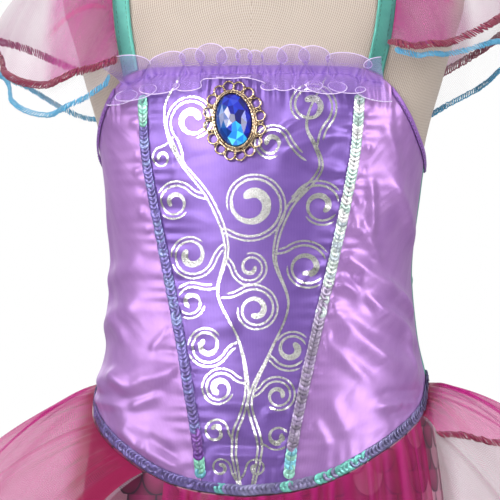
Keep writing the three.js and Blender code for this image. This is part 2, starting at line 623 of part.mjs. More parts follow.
// Overlay: soft gathers close to the front of the skirt
function overlayPoint(u, v) {
  const angle = lerp(OVERLAY.start, OVERLAY.end, u);
  const down = Math.max(v, 0);
  const hem = OVERLAY.hemZ + OVERLAY.fall * (u - 0.4) ** 2;
  const wave = OVERLAY.depth * (1 + Math.sin(2 * Math.PI * OVERLAY.waves * u + 1.3 * Math.sin(5 * u)));
  const stand = CLOTH / 2 + SEAM_GAP + ORGANZA / 2 + (OVERLAY.stand + wave) * down ** 0.7;
  return bodyPoint(SKIRT, angle, lerp(bottomEdge(angle) - 2 * SKIRT_DROP, hem, down), stand);
}
add('overlay_front', wall(26, 5, ORGANZA, overlayPoint), magentaOrganza);

// Brooch: a plate edged with open loops, a bezel and a faceted stone, on the centre panel
const brooch = new THREE.Group();
const outward = satinPoint(BROOCH.angle, BROOCH.z, 10).sub(satinPoint(BROOCH.angle, BROOCH.z, 0)).normalize();
const upright = up.clone().addScaledVector(outward, -up.dot(outward)).normalize();
const aslant = upright.applyAxisAngle(outward, degToRad(BROOCH.lean));
const turned = new THREE.Matrix4().makeBasis(aslant.clone().cross(outward), aslant, outward);
brooch.quaternion.setFromRotationMatrix(turned);
brooch.position.copy(satinPoint(BROOCH.angle, BROOCH.z, ON_PANEL + BROOCH.seat));
dress.add(brooch);

const oval = (half, high, turn) => (
  new THREE.Vector2(half * Math.cos(2 * Math.PI * turn), high * Math.sin(2 * Math.PI * turn))
);
const ovalRing = (half, high, height, shift = 0) => around(BROOCH.stoneSides).map((turn) => {
  const p = oval(half, high, turn + shift / BROOCH.stoneSides);
  return place(p.x, p.y, height);
});

const loopOutline = around(BROOCH.loops * BROOCH.sidesPerLoop).map((turn) => {
  const bulge = 0.35 + 0.65 * Math.abs(Math.cos(Math.PI * BROOCH.loops * turn)) ** 0.6;
  const reach = BROOCH.loopRadius * bulge;
  return oval(BROOCH.loopHalf + reach, BROOCH.loopHigh + reach, turn);
});
const loopShape = new THREE.Shape(loopOutline);
for (const turn of around(BROOCH.loops)) {
  const centre = oval(BROOCH.loopHalf, BROOCH.loopHigh, turn);
  const rim = around(BROOCH.holeSides).map((part) => oval(BROOCH.holeRadius, BROOCH.holeRadius, part));
  const hole = rim.map((point) => point.add(centre));
  loopShape.holes.push(new THREE.Path(hole));
}
const plateShape = new THREE.ExtrudeGeometry(loopShape, { depth: BROOCH.plate, bevelEnabled: false });
add('brooch_setting', plateShape, goldPlate, brooch);

const stoneFoot = BROOCH.plate + SEAM_GAP;
const bezelRings = (grow) => [stoneFoot, stoneFoot + BROOCH.bezelHeight].map((height) => (
  ovalRing(BROOCH.stoneHalf + grow, BROOCH.stoneHigh + grow, height)
));
const bezelShape = solidBetween(bezelRings(SEAM_GAP + BROOCH.bezelWide), bezelRings(SEAM_GAP), true);
add('brooch_bezel', bezelShape, goldPlate, brooch);

const stoneShape = solidThrough(STONE.map(({ size, height, shift }) => (
  ovalRing(BROOCH.stoneHalf * size, BROOCH.stoneHigh * size, stoneFoot + BROOCH.stoneHeight * height, shift)
)));
add('brooch_gem', stoneShape, blueGem, brooch);

export default dress;
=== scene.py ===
# %% [markdown]
# # A child's princess costume dress on a dress form
# The real thing is a satin bodice with a foil-printed centre panel, sequin braid over its seams, a gathered
# organza frill at the neck, two-layer organza flounces at the shoulders and hips, and a long skirt with a
# fish-scale print. It hangs on a beige jersey-covered form. The solids of the part hold the garment's true
# shape. This file follows the same sections and tables, and makes finer cloth from them.

import math

import bmesh
import bpy
import numpy as np
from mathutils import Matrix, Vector


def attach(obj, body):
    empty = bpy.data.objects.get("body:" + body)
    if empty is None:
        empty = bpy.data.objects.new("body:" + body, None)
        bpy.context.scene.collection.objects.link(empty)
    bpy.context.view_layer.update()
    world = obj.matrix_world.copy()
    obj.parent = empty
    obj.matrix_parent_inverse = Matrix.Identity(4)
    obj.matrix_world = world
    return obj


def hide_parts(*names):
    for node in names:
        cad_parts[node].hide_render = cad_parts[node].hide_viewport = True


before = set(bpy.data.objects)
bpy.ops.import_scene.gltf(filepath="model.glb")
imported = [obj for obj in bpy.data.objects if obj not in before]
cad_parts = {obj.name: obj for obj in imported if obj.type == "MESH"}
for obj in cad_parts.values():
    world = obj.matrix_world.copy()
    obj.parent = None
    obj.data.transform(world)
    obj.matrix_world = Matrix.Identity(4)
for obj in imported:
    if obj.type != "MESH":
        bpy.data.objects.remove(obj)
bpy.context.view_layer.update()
MM = 0.001
Z_AXIS = np.array([0.0, 0, 1])

# %% [markdown]
# ## Camera, floor and light
# The photograph is a close-up from straight ahead, a little to the wearer's left, on pure white. A long
# lens keeps upright lines parallel. Soft lights give satin its broad bands of shine, and a darker ring
# round the horizon of the world gives the foil and the sequins something to mirror.


# %% Colours and nodes
def colour(code):
    """An sRGB hex code as the linear colour that a shader takes."""
    shares = [int(code[place:place + 2], 16) / 255 for place in (1, 3, 5)]
    linear = [share / 12.92 if share <= 0.04045 else ((share + 0.055) / 1.055) ** 2.4 for share in shares]
    return linear + [1.0]


def add_node(tree, kind, settings=None, values=None, links=None, ramp=()):
    """A node with its settings, socket values, links from other nodes' outputs, and a colour ramp's stops."""
    made = tree.nodes.new(kind)
    for name, value in (settings or {}).items():
        setattr(made, name, value)
    for socket, value in (values or {}).items():
        made.inputs[socket].default_value = value
    for socket, source in (links or {}).items():
        tree.links.new(source, made.inputs[socket])
    for place, (position, code) in enumerate(ramp):
        made.color_ramp.elements[place].position = position
        made.color_ramp.elements[place].color = colour(code)
    return made


# %% Camera
AZIMUTH = math.radians(8)
DISTANCE = 2.6
FRAME_WIDTH = 0.300
SENSOR = 36
AIM_HEIGHT = 0.660
AIM_ASIDE = -0.0078
toward = Vector((math.sin(AZIMUTH), -math.cos(AZIMUTH), 0))
rightward = Vector((math.cos(AZIMUTH), math.sin(AZIMUTH), 0))
camera = bpy.data.objects.new("camera", bpy.data.cameras.new("camera"))
camera.data.sensor_width = SENSOR
camera.data.lens = SENSOR * DISTANCE / FRAME_WIDTH
camera.location = rightward * AIM_ASIDE + toward * DISTANCE + Vector((0, 0, AIM_HEIGHT))
camera.rotation_euler = toward.to_track_quat("Z", "Y").to_euler()
bpy.context.collection.objects.link(camera)
bpy.context.scene.camera = camera
bpy.context.scene.view_settings.view_transform = "Standard"
print("lens", round(camera.data.lens), "mm")

# %% Soft lights, world and floor
LIGHTS = {
    "key": {"at": (-0.36, -0.85, 1.0), "size": 0.4, "watts": 0.36, "aim": 0.77, "spread": 34},
    "fill": {"at": (1.5, -0.9, 1.2), "size": 1.0, "watts": 8, "aim": 0.8, "spread": 110},
    "side": {"at": (-1.5, -0.8, 1.2), "size": 1.0, "watts": 6, "aim": 0.8, "spread": 110},
    "top": {"at": (0.1, -0.3, 2.1), "size": 1.0, "watts": 1.5},
    "back": {"at": (-0.5, 1.6, 1.4), "size": 1.4, "watts": 9},
}
for name, light in LIGHTS.items():
    lamp = bpy.data.lights.new(name, "AREA")
    lamp.size = light["size"]
    lamp.energy = light["watts"]
    lamp.spread = math.radians(light.get("spread", 180))
    holder = bpy.data.objects.new(name, lamp)
    holder.location = light["at"]
    aim = Vector((0, 0, light.get("aim", 0.62)))
    holder.rotation_euler = (Vector(light["at"]) - aim).to_track_quat("Z", "Y").to_euler()
    bpy.context.collection.objects.link(holder)

world = bpy.data.worlds.new("white studio")
world.use_nodes = True
bpy.context.scene.world = world
tree = world.node_tree
direction = add_node(tree, "ShaderNodeTexCoord")
height = add_node(tree, "ShaderNodeSeparateXYZ", links={0: direction.outputs["Generated"]})
# low directions get a strength of 0.2, high ones 0.62, and the camera itself sees plain white
sky = add_node(tree, "ShaderNodeMapRange", values={1: -0.3, 2: 0.6, 3: 0.2, 4: 0.62},
               links={0: height.outputs["Z"]})
seen = add_node(tree, "ShaderNodeLightPath")
strength = add_node(tree, "ShaderNodeMix", values={3: 1.0},
                    links={0: seen.outputs["Is Camera Ray"], 2: sky.outputs[0]})
background = tree.nodes["Background"]
background.inputs["Color"].default_value = (1, 1, 1, 1)
tree.links.new(strength.outputs[0], background.inputs["Strength"])

FLOOR_HALF, FLOOR_Z = 0.8, -0.0005
floor_mesh = bpy.data.meshes.new("floor")
floor_corners = [(x * FLOOR_HALF, y * FLOOR_HALF, FLOOR_Z) for x, y in ((-1, -1), (1, -1), (1, 1), (-1, 1))]
floor_mesh.from_pydata(floor_corners, [], [(0, 1, 2, 3)])
floor = bpy.data.objects.new("floor", floor_mesh)
bpy.context.collection.objects.link(floor)
print("lights", len(LIGHTS))

# %% [markdown]
# ## The sizes that the cloth is worked out from
# These are the same short tables as in the part's source, in millimetres: sections of the form and the
# skirt, the bodice's edges and seams, and the free edges of the flounces. A smooth curve runs through the
# rows of each.


# %% Tables and the curves through them
def table(columns, *rows):
    return dict(zip(columns.split(), np.array(rows, float).T))


def column(rows, key, at, name):
    """One column of a table at places along another, on a smooth curve through its rows."""
    keys, values = rows[key], rows[name]
    at = np.asarray(at, float)
    i = np.clip(np.searchsorted(keys, at) - 1, 0, len(keys) - 2)
    before = np.maximum(i - 1, 0)
    after = np.minimum(i + 2, len(keys) - 1)
    span = keys[i + 1] - keys[i]
    t = np.clip((at - keys[i]) / span, 0, 1)
    slope_a = (values[i + 1] - values[before]) / (keys[i + 1] - keys[before]) * span
    slope_b = (values[after] - values[i]) / (keys[after] - keys[i]) * span
    return ((2 * t**3 - 3 * t**2 + 1) * values[i] + (t**3 - 2 * t**2 + t) * slope_a
            + (3 * t**2 - 2 * t**3) * values[i + 1] + (t**3 - t**2) * slope_b)


EASE, CLOTH, ORGANZA, SEAM_GAP = 0.8, 1.2, 1.0, 0.3
ON_PANEL = EASE + CLOTH + SEAM_GAP
TRIM_WIDTH = 6
HALF_GAP = 0.12
HEM_Z = 90
SKIRT_WAVES, SKIRT_DROP, PEPLUM_DROP = 8, 0.55, 3
FORM = table(
    "z half front back square",
    (424, 96, 66, 72, 2.3), (430, 102, 71, 78, 2.3), (445, 105, 74, 81, 2.3), (480, 107, 77, 84, 2.3),
    (510, 105.5, 78, 82, 2.3), (545, 101.5, 77, 76, 2.3), (579, 97, 74, 70, 2.3), (606, 91, 70, 65, 2.3),
    (640, 87.5, 66.5, 63, 2.3), (660, 88, 66, 64, 2.3), (690, 92, 66, 66, 2.3), (712, 95, 65.5, 66, 2.3),
    (734, 99.5, 63, 64, 2.3), (759, 107, 58, 61, 2.3), (780, 113, 54, 58, 2.3), (808, 121, 49, 54, 2.3),
    (824, 118, 46, 52, 2.3), (836, 105, 44, 50, 2.3), (848, 83, 42, 48, 2.2), (859, 58, 38, 44, 2.1),
    (870, 39, 35, 39, 2.0), (885, 33, 33, 34, 2.0), (901, 33, 33, 33, 2.0), (905, 29, 29, 29, 2.0))
SKIRT = table(
    "z half front back square wave",
    (HEM_Z, 142, 120, 126, 2.0, 10), (170, 128, 105, 111, 2.0, 7), (260, 118, 93, 99, 2.0, 4),
    (350, 113, 86, 92, 2.1, 2), (430, 111, 82, 88, 2.2, 0.5), (480, 109.4, 80, 86.8, 2.3, 0),
    (510, 107.5, 79.8, 84.4, 2.3, 0), (545, 103, 78.5, 77.5, 2.3, 0), (579, 98.5, 75.5, 71.5, 2.3, 0),
    (600, 93.4, 72.2, 67.2, 2.3, 0))
TOP_EDGE = table(
    "angle z",
    (0, 768), (50, 767), (58, 763), (63, 756), (69, 743), (77, 728), (88, 716), (98, 711), (108, 716),
    (116, 729), (122, 742), (127, 748), (140, 748), (180, 746))
BACK_CORNER = 125.5
BOTTOM_EDGE = table(
    "angle z", (0, 517), (20, 520), (35, 526.5), (50, 539), (65, 553), (78, 565.5), (86, 576), (95, 581),
    (120, 580), (150, 574), (180, 571))
PRINCESS_SEAM = table(
    "z x", (517, 24.5), (546, 27.6), (576, 33), (612, 40), (648, 47.7), (688, 56), (720, 61.5), (768, 64.5))


def section_point(rows, angle, z):
    """The point of a sectioned body at so many degrees round from centre front."""
    sine, cosine = np.sin(np.radians(angle)), np.cos(np.radians(angle))
    half = column(rows, "z", z, "half")
    depth = np.where(cosine > 0, column(rows, "z", z, "front"), column(rows, "z", z, "back"))
    square = column(rows, "z", z, "square")
    radius = (abs(sine / half) ** square + abs(cosine / depth) ** square) ** (-1 / square)
    return np.stack(np.broadcast_arrays(radius * sine, -radius * cosine, z), -1).astype(float)


def unit(vectors):
    return vectors / np.maximum(np.linalg.norm(vectors, axis=-1, keepdims=True), 1e-12)


def body_point(rows, angle, z, out):
    """A point of the body moved out along its normal."""
    angle, z = np.broadcast_arrays(np.asarray(angle, float), np.asarray(z, float))
    across = section_point(rows, angle + 0.5, z) - section_point(rows, angle - 0.5, z)
    rise = section_point(rows, angle, z + 0.5) - section_point(rows, angle, z - 0.5)
    return section_point(rows, angle, z) + unit(np.cross(across, rise)) * np.asarray(out, float)[..., None]


def smoothstep(value, low, high):
    share = np.clip((value - low) / (high - low), 0, 1)
    return share * share * (3 - 2 * share)


def wrapped(angle):
    return np.mod(angle + 180, 360) - 180


def top_edge(angle):
    return column(TOP_EDGE, "angle", abs(wrapped(angle)), "z")


def bottom_edge(angle):
    return column(BOTTOM_EDGE, "angle", abs(wrapped(angle)), "z")


def princess_x(z):
    return column(PRINCESS_SEAM, "z", z, "x")


def halved(is_below, low, high, shape, rounds=22):
    """Where a rising measure passes its mark, by halving the span again and again."""
    low, high = np.full(shape, float(low)), np.full(shape, float(high))
    for _ in range(rounds):
        middle = (low + high) / 2
        below = is_below(middle)
        low, high = np.where(below, middle, low), np.where(below, high, middle)
    return (low + high) / 2


def angle_at(x, z):
    """Degrees round at which the front of the form is so far to the side."""
    x, z = np.broadcast_arrays(np.asarray(x, float), np.asarray(z, float))
    found = halved(lambda angle: section_point(FORM, angle, z)[..., 0] < abs(x), 0, 89, x.shape)
    return np.sign(x) * found


print("chest half width", float(column(FORM, "z", 712, "half")), "mm")

# %% [markdown]
# ## Creases in the satin
# Satin shows every pull: broad folds run from the waist seams to the sides, the cloth puckers where it is
# stitched to the sequin braid, and it is gathered under the neck frill. The main ones are listed one by
# one, each as a soft ridge or trough between two places, with its own width and height. Short even puckers
# follow from sines.

# %% Folds and creases of the bodice
FOLD_COLUMNS = "angle z to_angle to_z wide high"
FOLDS = table(
    FOLD_COLUMNS,
    (44, 648, 84, 622, 7, 1.7), (50, 628, 86, 600, 7, 1.9), (34, 612, 82, 584, 8, 1.3),
    (62, 706, 88, 660, 8, 1.5), (-86, 640, -52, 652, 7, 1.2), (-88, 610, -50, 628, 8, 1.7),
    (-84, 576, -34, 590, 8, 2.0), (-60, 562, -30, 544, 8, 1.3), (14, 712, 42, 728, 7, 1.4),
    (20, 736, 44, 748, 6, 1.2), (-12, 556, 12, 546, 7, 1.2), (118, 660, 160, 640, 9, 1.4),
    (105, 620, 162, 610, 9, 1.5), (-118, 664, -160, 648, 9, 1.4), (-104, 618, -162, 606, 9, 1.6))
CREASES = table(
    FOLD_COLUMNS,
    # left side of the picture
    (-47, 737, -56, 735, 2.2, 0.7), (-46, 729, -54, 730, 2.0, -0.6), (-44, 719, -54, 716, 2.2, 0.7),
    (-44, 708, -55, 705, 2.4, 0.8), (-43, 696, -52, 695, 2.0, -0.6), (-42, 685, -54, 682, 2.6, 0.9),
    (-40, 673, -51, 671, 2.2, 0.6), (-63, 588, -50, 576, 4, 1.6), (-52, 576, -30, 590, 4.5, 1.7),
    (-94, 571, -50, 568, 3.2, 1.3), (-50, 567, -36, 575, 3.2, 1.2), (-54, 556, -44, 542, 5, 1.4),
    (-44, 545, -26, 530, 5, 1.6), (-40, 552, -28, 537, 3, -0.9), (-82, 690, -80, 612, 6, 1.2),
    (-61, 746, -54, 749, 2.5, 0.8), (-80, 630, -57, 604, 5, 1.0), (-36, 613, -44, 600, 3.5, 0.8),
    # right side of the picture
    (40, 660, 71, 635, 4, 1.6), (38, 645, 76, 612, 4, 1.5), (36, 629, 64, 589, 5, 1.2),
    (33, 609, 52, 582, 4, 0.9), (55, 702, 57, 668, 3, 1.3), (47, 681, 62, 653, 3.5, 1.0),
    (45, 653, 56, 620, 3, -0.8), (54, 574, 81, 575, 4, -1.0), (57, 562, 75, 566, 3.5, -1.0),
    (52, 568, 65, 570, 3, 0.9), (72, 613, 76, 588, 3, 1.1), (71, 636, 82, 619, 3, 1.0),
    (28, 562, 34, 544, 4, 0.8), (35, 573, 42, 550, 5, 0.7), (60, 736, 68, 707, 4, 0.9),
    (64, 701, 78, 672, 4, 0.9), (49, 737, 55, 739, 2.0, 0.6), (48, 723, 55, 719, 2.2, 0.8),
    (46, 708, 54, 707, 2.0, -0.6), (44, 691, 53, 687, 2.4, 0.8), (42, 676, 51, 672, 2.2, 0.7),
    (41, 662, 48, 659, 2.0, -0.6), (34, 631, 41, 628, 2.2, 0.7), (30, 613, 38, 610, 2.2, 0.6),
    (25, 592, 32, 588, 2.2, 0.6),
    # centre panel
    (2, 718, 26, 737, 4, 1.3), (14, 717, 44, 729, 4, 1.2), (26, 712, 44, 705, 4, 1.0),
    (12, 728, 36, 747, 3, -0.8), (-16, 541, 20, 538, 3, 1.2), (-14, 547, 18, 546, 3, -0.9),
    (-13, 555, 1, 557, 3, 0.9), (-16, 571, 5, 569, 4, 0.9), (8, 564, 20, 568, 3, 0.8),
    (-26, 614, -3, 616, 6, 0.7), (25, 638, 36, 653, 3.5, 0.9), (-38, 736, -36, 701, 3, 0.6),
    # the backs, which the photograph doesn't show, pulled in the same way
    (112, 690, 128, 716, 4, 1.1), (108, 672, 150, 664, 4, -0.8), (120, 606, 158, 596, 4, 1.2),
    (130, 640, 168, 628, 4, 1.0), (100, 640, 118, 650, 4, 1.1), (-112, 694, -130, 718, 4, 1.2),
    (-104, 650, -122, 644, 4, 1.0), (-124, 604, -160, 592, 4, 1.2), (-132, 684, -166, 676, 4, -0.8),
    (-128, 632, -164, 622, 4, 1.0))
PER_DEGREE = 1.5               # millimetres round the body for each degree


def ridges(rows, angle, z):
    """Summed height of a table's soft ridges."""
    height = np.zeros(np.shape(angle))
    for start, low, end, high, wide, tall in zip(*rows.values()):
        run, rise = (end - start) * PER_DEGREE, high - low
        along, up = (angle - start) * PER_DEGREE, z - low
        share = (along * run + up * rise) / (run * run + rise * rise)
        beyond = np.maximum(0, abs(share - 0.5) - 0.25)
        aside = (along * rise - up * run) / math.hypot(run, rise)
        height += tall * np.exp(-((beyond / 0.22) ** 2) - (aside / wide) ** 2)
    return height


def uneven(place, pitch, seed):
    """A wave of about that pitch whose steps and heights vary, as in hand-fed gathers."""
    turn = 2 * np.pi * place / pitch
    return (0.6 * np.sin(turn + 1.7 * np.sin(0.23 * turn + seed)) + 0.4 * np.sin(0.61 * turn + 2.1 * seed))


FOLD_GAIN, CREASE_GAIN = 1.8, 1.7
FOLD_FADE, CREASE_FADE = (8, 18), (3, 8)       # how far from a seam they start, and are at full height
PUCKER_PITCH, PUCKER_HEIGHT, PUCKER_REACH = 8.5, 0.85, 8
HEM_PUCKER_PITCH, HEM_PUCKER_HEIGHT, HEM_BAND = 9, 0.6 * PUCKER_HEIGHT, 6
NECK_GATHERS_TO, NECK_GATHERS_BELOW = 70, 8
GATHER_PITCH, GATHER_HEIGHT, GATHER_REACH = 5.2, 0.75, 10
DEEPEST_TROUGH = 1.0


def satin_point(angle, z, out):
    """A point of the satin bodice. Folds fade out where another piece is sewn on."""
    angle, z = np.broadcast_arrays(np.asarray(angle, float), np.asarray(z, float))
    turn = wrapped(angle)
    front = np.where(abs(turn) < 90, abs(section_point(FORM, turn, z)[..., 0]), np.inf)
    from_seam = np.minimum(abs(front - princess_x(z)), (180 - abs(turn)) * PER_DEGREE)
    from_hem, from_top = z - bottom_edge(turn), top_edge(turn) - z
    nearest = np.minimum(np.minimum(from_seam, 0.75 * from_hem), from_top)
    height = FOLD_GAIN * ridges(FOLDS, turn, z) * smoothstep(nearest, *FOLD_FADE)
    height = height + CREASE_GAIN * ridges(CREASES, turn, z) * smoothstep(nearest, *CREASE_FADE)
    braid = TRIM_WIDTH / 2
    round_by = turn * PER_DEGREE
    height = height + (
        PUCKER_HEIGHT * uneven(z, PUCKER_PITCH, np.sign(turn)) * smoothstep(from_seam, braid, braid + 2)
        * np.exp(-np.maximum(from_seam - braid, 0) / PUCKER_REACH) * smoothstep(from_hem, 8, 14))
    height = height + (
        HEM_PUCKER_HEIGHT * uneven(round_by, HEM_PUCKER_PITCH, 3.0)
        * smoothstep(from_hem, HEM_BAND, HEM_BAND + 3) * smoothstep(from_seam, *CREASE_FADE)
        * np.exp(-np.maximum(from_hem - HEM_BAND, 0) / PUCKER_REACH))
    neck = smoothstep(NECK_GATHERS_TO - abs(turn), 0, 10)
    height = height + (neck * GATHER_HEIGHT * uneven(round_by, GATHER_PITCH, 1.3)
                       * np.exp(-((from_top - NECK_GATHERS_BELOW) / GATHER_REACH) ** 2))
    return body_point(FORM, angle, z, out + np.maximum(height, -DEEPEST_TROUGH))


def on_bodice(angle, z, out):
    """Points on the bodice and the way they face, taken well above the creases."""
    return satin_point(angle, z, out), unit(satin_point(angle, z, 12.0) - satin_point(angle, z, 8.0))


print("folds and creases", len(FOLDS["z"]) + len(CREASES["z"]))

# %% [markdown]
# ## From points to cloth
# A piece of cloth is a grid of points. Each gets a UV map in metres of cloth, so a weave or a print keeps
# its real size on every piece. Satin gets a thin wall with Solidify. Organza is one sheer surface.


# %% Grids, cords and pieces
def grid_mesh(name, points, joined=False, flip=False):
    """A mesh through a grid of points in millimetres, with a UV map in metres of cloth."""
    rows, columns = points.shape[:2]
    i, j = np.mgrid[0:rows - 1, 0:columns - 1]
    first, second = i * columns + j, (i + 1) * columns + j
    corners = np.stack([first, first + 1, second + 1, second], -1).reshape(-1, 4)
    if flip:
        corners = corners[:, ::-1]
    mesh = bpy.data.meshes.new(name)
    mesh.from_pydata((points.reshape(-1, 3) * MM).tolist(), [], corners.tolist())
    steps_across = np.linalg.norm(np.diff(points, axis=1), axis=-1)
    steps_up = np.linalg.norm(np.diff(points, axis=0), axis=-1)
    across = np.concatenate([np.zeros((rows, 1)), np.cumsum(steps_across, axis=1)], axis=1)
    across -= across[:, -1:] / 2
    up = np.concatenate([np.zeros((1, columns)), np.cumsum(steps_up, axis=0)], axis=0)
    flat = np.stack([across, up], -1).reshape(-1, 2)[corners.ravel()] * MM
    mesh.uv_layers.new(name="cloth").data.foreach_set("uv", flat.ravel())
    if joined:
        edit = bmesh.new()
        edit.from_mesh(mesh)
        bmesh.ops.remove_doubles(edit, verts=edit.verts, dist=1e-6)
        edit.to_mesh(mesh)
        edit.free()
    mesh.shade_smooth()
    return mesh


def add_piece(name, mesh, finish, replaced=()):
    """The object for a finished mesh, riding on the part's one body."""
    made = bpy.data.objects.new(name, mesh)
    bpy.context.collection.objects.link(made)
    mesh.materials.clear()
    mesh.materials.append(finish)
    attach(made, "root")
    if replaced:
        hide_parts(*replaced)
    return made


def thicken(piece, thickness):
    """Gives cloth a wall, inwards from its outer face."""
    wall = piece.modifiers.new("wall", "SOLIDIFY")
    wall.thickness = thickness * MM
    wall.offset = -1
    return piece


def paint(mesh, name, values):
    """Stores a number or a colour for each vertex, for a material to read."""
    values = np.asarray(values, np.float32)
    kind = "FLOAT" if values.ndim == 1 else "FLOAT_VECTOR" if values.shape[1] == 3 else "FLOAT_COLOR"
    field = {"FLOAT": "value", "FLOAT_VECTOR": "vector", "FLOAT_COLOR": "color"}[kind]
    mesh.attributes.new(name, kind, "POINT").data.foreach_set(field, values.ravel())


def ring_faces(rings, sides, closed):
    """The faces of rings of points joined in turn, capped at both ends or joined end to start."""
    pairs = [(k, (k + 1) % rings) for k in range(rings if closed else rings - 1)]
    faces = [(a * sides + s, a * sides + (s + 1) % sides, b * sides + (s + 1) % sides, b * sides + s)
             for a, b in pairs for s in range(sides)]
    if not closed:
        faces += [tuple(range(sides))[::-1], tuple((rings - 1) * sides + s for s in range(sides))]
    return faces


def cord(path, facing, half_wide, half_high, sides=6, closed=False):
    """Points and faces of a round or flat cord along a path that lies on a surface."""
    path, count = np.asarray(path, float), len(path)
    ahead = np.roll(path, -1, 0) - np.roll(path, 1, 0) if closed else np.gradient(path, axis=0)
    facing = np.broadcast_to(facing, path.shape)
    side = unit(np.cross(unit(ahead), facing))
    lift = unit(np.cross(side, unit(ahead)))
    ring = 2 * np.pi * (np.arange(sides) + 0.5) / sides
    wide = np.broadcast_to(half_wide, count)[:, None, None] * np.cos(ring)[None, :, None]
    high = np.broadcast_to(half_high, count)[:, None, None] * np.sin(ring)[None, :, None]
    points = path[:, None] + side[:, None] * wide + lift[:, None] * high
    return points.reshape(-1, 3), ring_faces(count, sides, closed)


def joined_mesh(name, shapes):
    """One mesh from many lists of points and faces, with its faces turned outwards."""
    points, faces, start = [], [], 0
    for some_points, some_faces in shapes:
        points += (np.asarray(some_points) * MM).tolist()
        faces += [tuple(start + corner for corner in face) for face in some_faces]
        start += len(some_points)
    mesh = bpy.data.meshes.new(name)
    mesh.from_pydata(points, [], faces)
    edit = bmesh.new()
    edit.from_mesh(mesh)
    bmesh.ops.recalc_face_normals(edit, faces=edit.faces)
    edit.to_mesh(mesh)
    edit.free()
    mesh.shade_smooth()
    return mesh


def spaced(path, pitch):
    """Shares of the way along a path at which points lie a pitch apart."""
    gone = np.concatenate([[0], np.cumsum(np.linalg.norm(np.diff(path, axis=0), axis=-1))])
    places = np.arange(pitch / 2, gone[-1], pitch)
    return np.interp(places, gone, np.linspace(0, 1, len(path)))


def along_line(points, facing, pitch):
    """Places a pitch apart along a line: where, how the cloth faces and the line runs, and the share gone."""
    shares = spaced(points, pitch)
    at = shares * (len(points) - 1)
    steps = np.arange(len(points))
    where, normal, along = [np.stack([np.interp(at, steps, values[:, k]) for k in range(3)], -1)
                            for values in (points, facing, np.gradient(points, axis=0))]
    return where, unit(normal), unit(along), shares


def cloth_area(mesh):
    """Square metres of a mesh's faces."""
    areas = np.zeros(len(mesh.polygons))
    mesh.polygons.foreach_get("area", areas)
    return float(areas.sum())


def declare_sheet(piece, flat, held, rests_on, **more):
    """Prints a piece's cloth area beside the area of its cut. How it is held is not used."""
    print(piece.name, "cloth", round(cloth_area(piece.data), 5), "cut", more.get("area", flat[0] * flat[1]))


print("helpers ready")

# %% [markdown]
# ## What repeats
# Sequins, the loops of a picot edge, beads and stitches are each one small shape, set many times on points
# that know which way the cloth faces and which way the row runs. A Geometry Nodes tree does that, with a
# seeded random tilt and size, and its result is kept as a plain mesh.


# %% The tree that sets a shape on points
def setting_tree():
    tree = bpy.data.node_groups.new("set a shape on points", "GeometryNodeTree")
    for name, kind in (("Points", "Geometry"), ("Shape", "Object"), ("Finish", "Material"), ("Tilt", "Float"),
                       ("Size Spread", "Float"), ("Seed", "Int")):
        tree.interface.new_socket(name, in_out="INPUT", socket_type=f"NodeSocket{kind}")
    tree.interface.new_socket("Result", in_out="OUTPUT", socket_type="NodeSocketGeometry")
    given = add_node(tree, "NodeGroupInput").outputs
    facing, along = [add_node(tree, "GeometryNodeInputNamedAttribute", {"data_type": "FLOAT_VECTOR"},
                              {"Name": name}).outputs["Attribute"] for name in ("facing", "along")]
    aligned = add_node(tree, "FunctionNodeAxesToRotation", {"primary_axis": "Z", "secondary_axis": "X"},
                       links={0: facing, 1: along})
    swing = add_node(tree, "FunctionNodeRandomValue", {"data_type": "FLOAT_VECTOR"},
                     {0: (-1, -1, -1), 1: (1, 1, 1)}, {"Seed": given["Seed"]})
    tilt = add_node(tree, "ShaderNodeVectorMath", {"operation": "SCALE"},
                    links={0: swing.outputs[0], "Scale": given["Tilt"]})
    turned = add_node(tree, "FunctionNodeRotateRotation", {"rotation_space": "LOCAL"},
                      links={0: aligned.outputs[0], 1: tilt.outputs[0]})
    lean = add_node(tree, "FunctionNodeRandomValue", {"data_type": "FLOAT"}, {2: -1.0, 3: 1.0},
                    {"Seed": given["Seed"]})
    size = add_node(tree, "ShaderNodeMath", {"operation": "MULTIPLY_ADD"}, {2: 1.0},
                    {0: lean.outputs[1], 1: given["Size Spread"]})
    shape = add_node(tree, "GeometryNodeObjectInfo", links={"Object": given["Shape"]})
    copies = add_node(tree, "GeometryNodeInstanceOnPoints", links={
        "Points": given["Points"], "Instance": shape.outputs["Geometry"], "Rotation": turned.outputs[0],
        "Scale": size.outputs[0]})
    real = add_node(tree, "GeometryNodeRealizeInstances", links={0: copies.outputs[0]})
    coated = add_node(tree, "GeometryNodeSetMaterial", links={"Geometry": real.outputs[0],
                                                              "Material": given["Finish"]})
    add_node(tree, "NodeGroupOutput", links={0: coated.outputs[0]})
    return tree


SETTING = setting_tree()


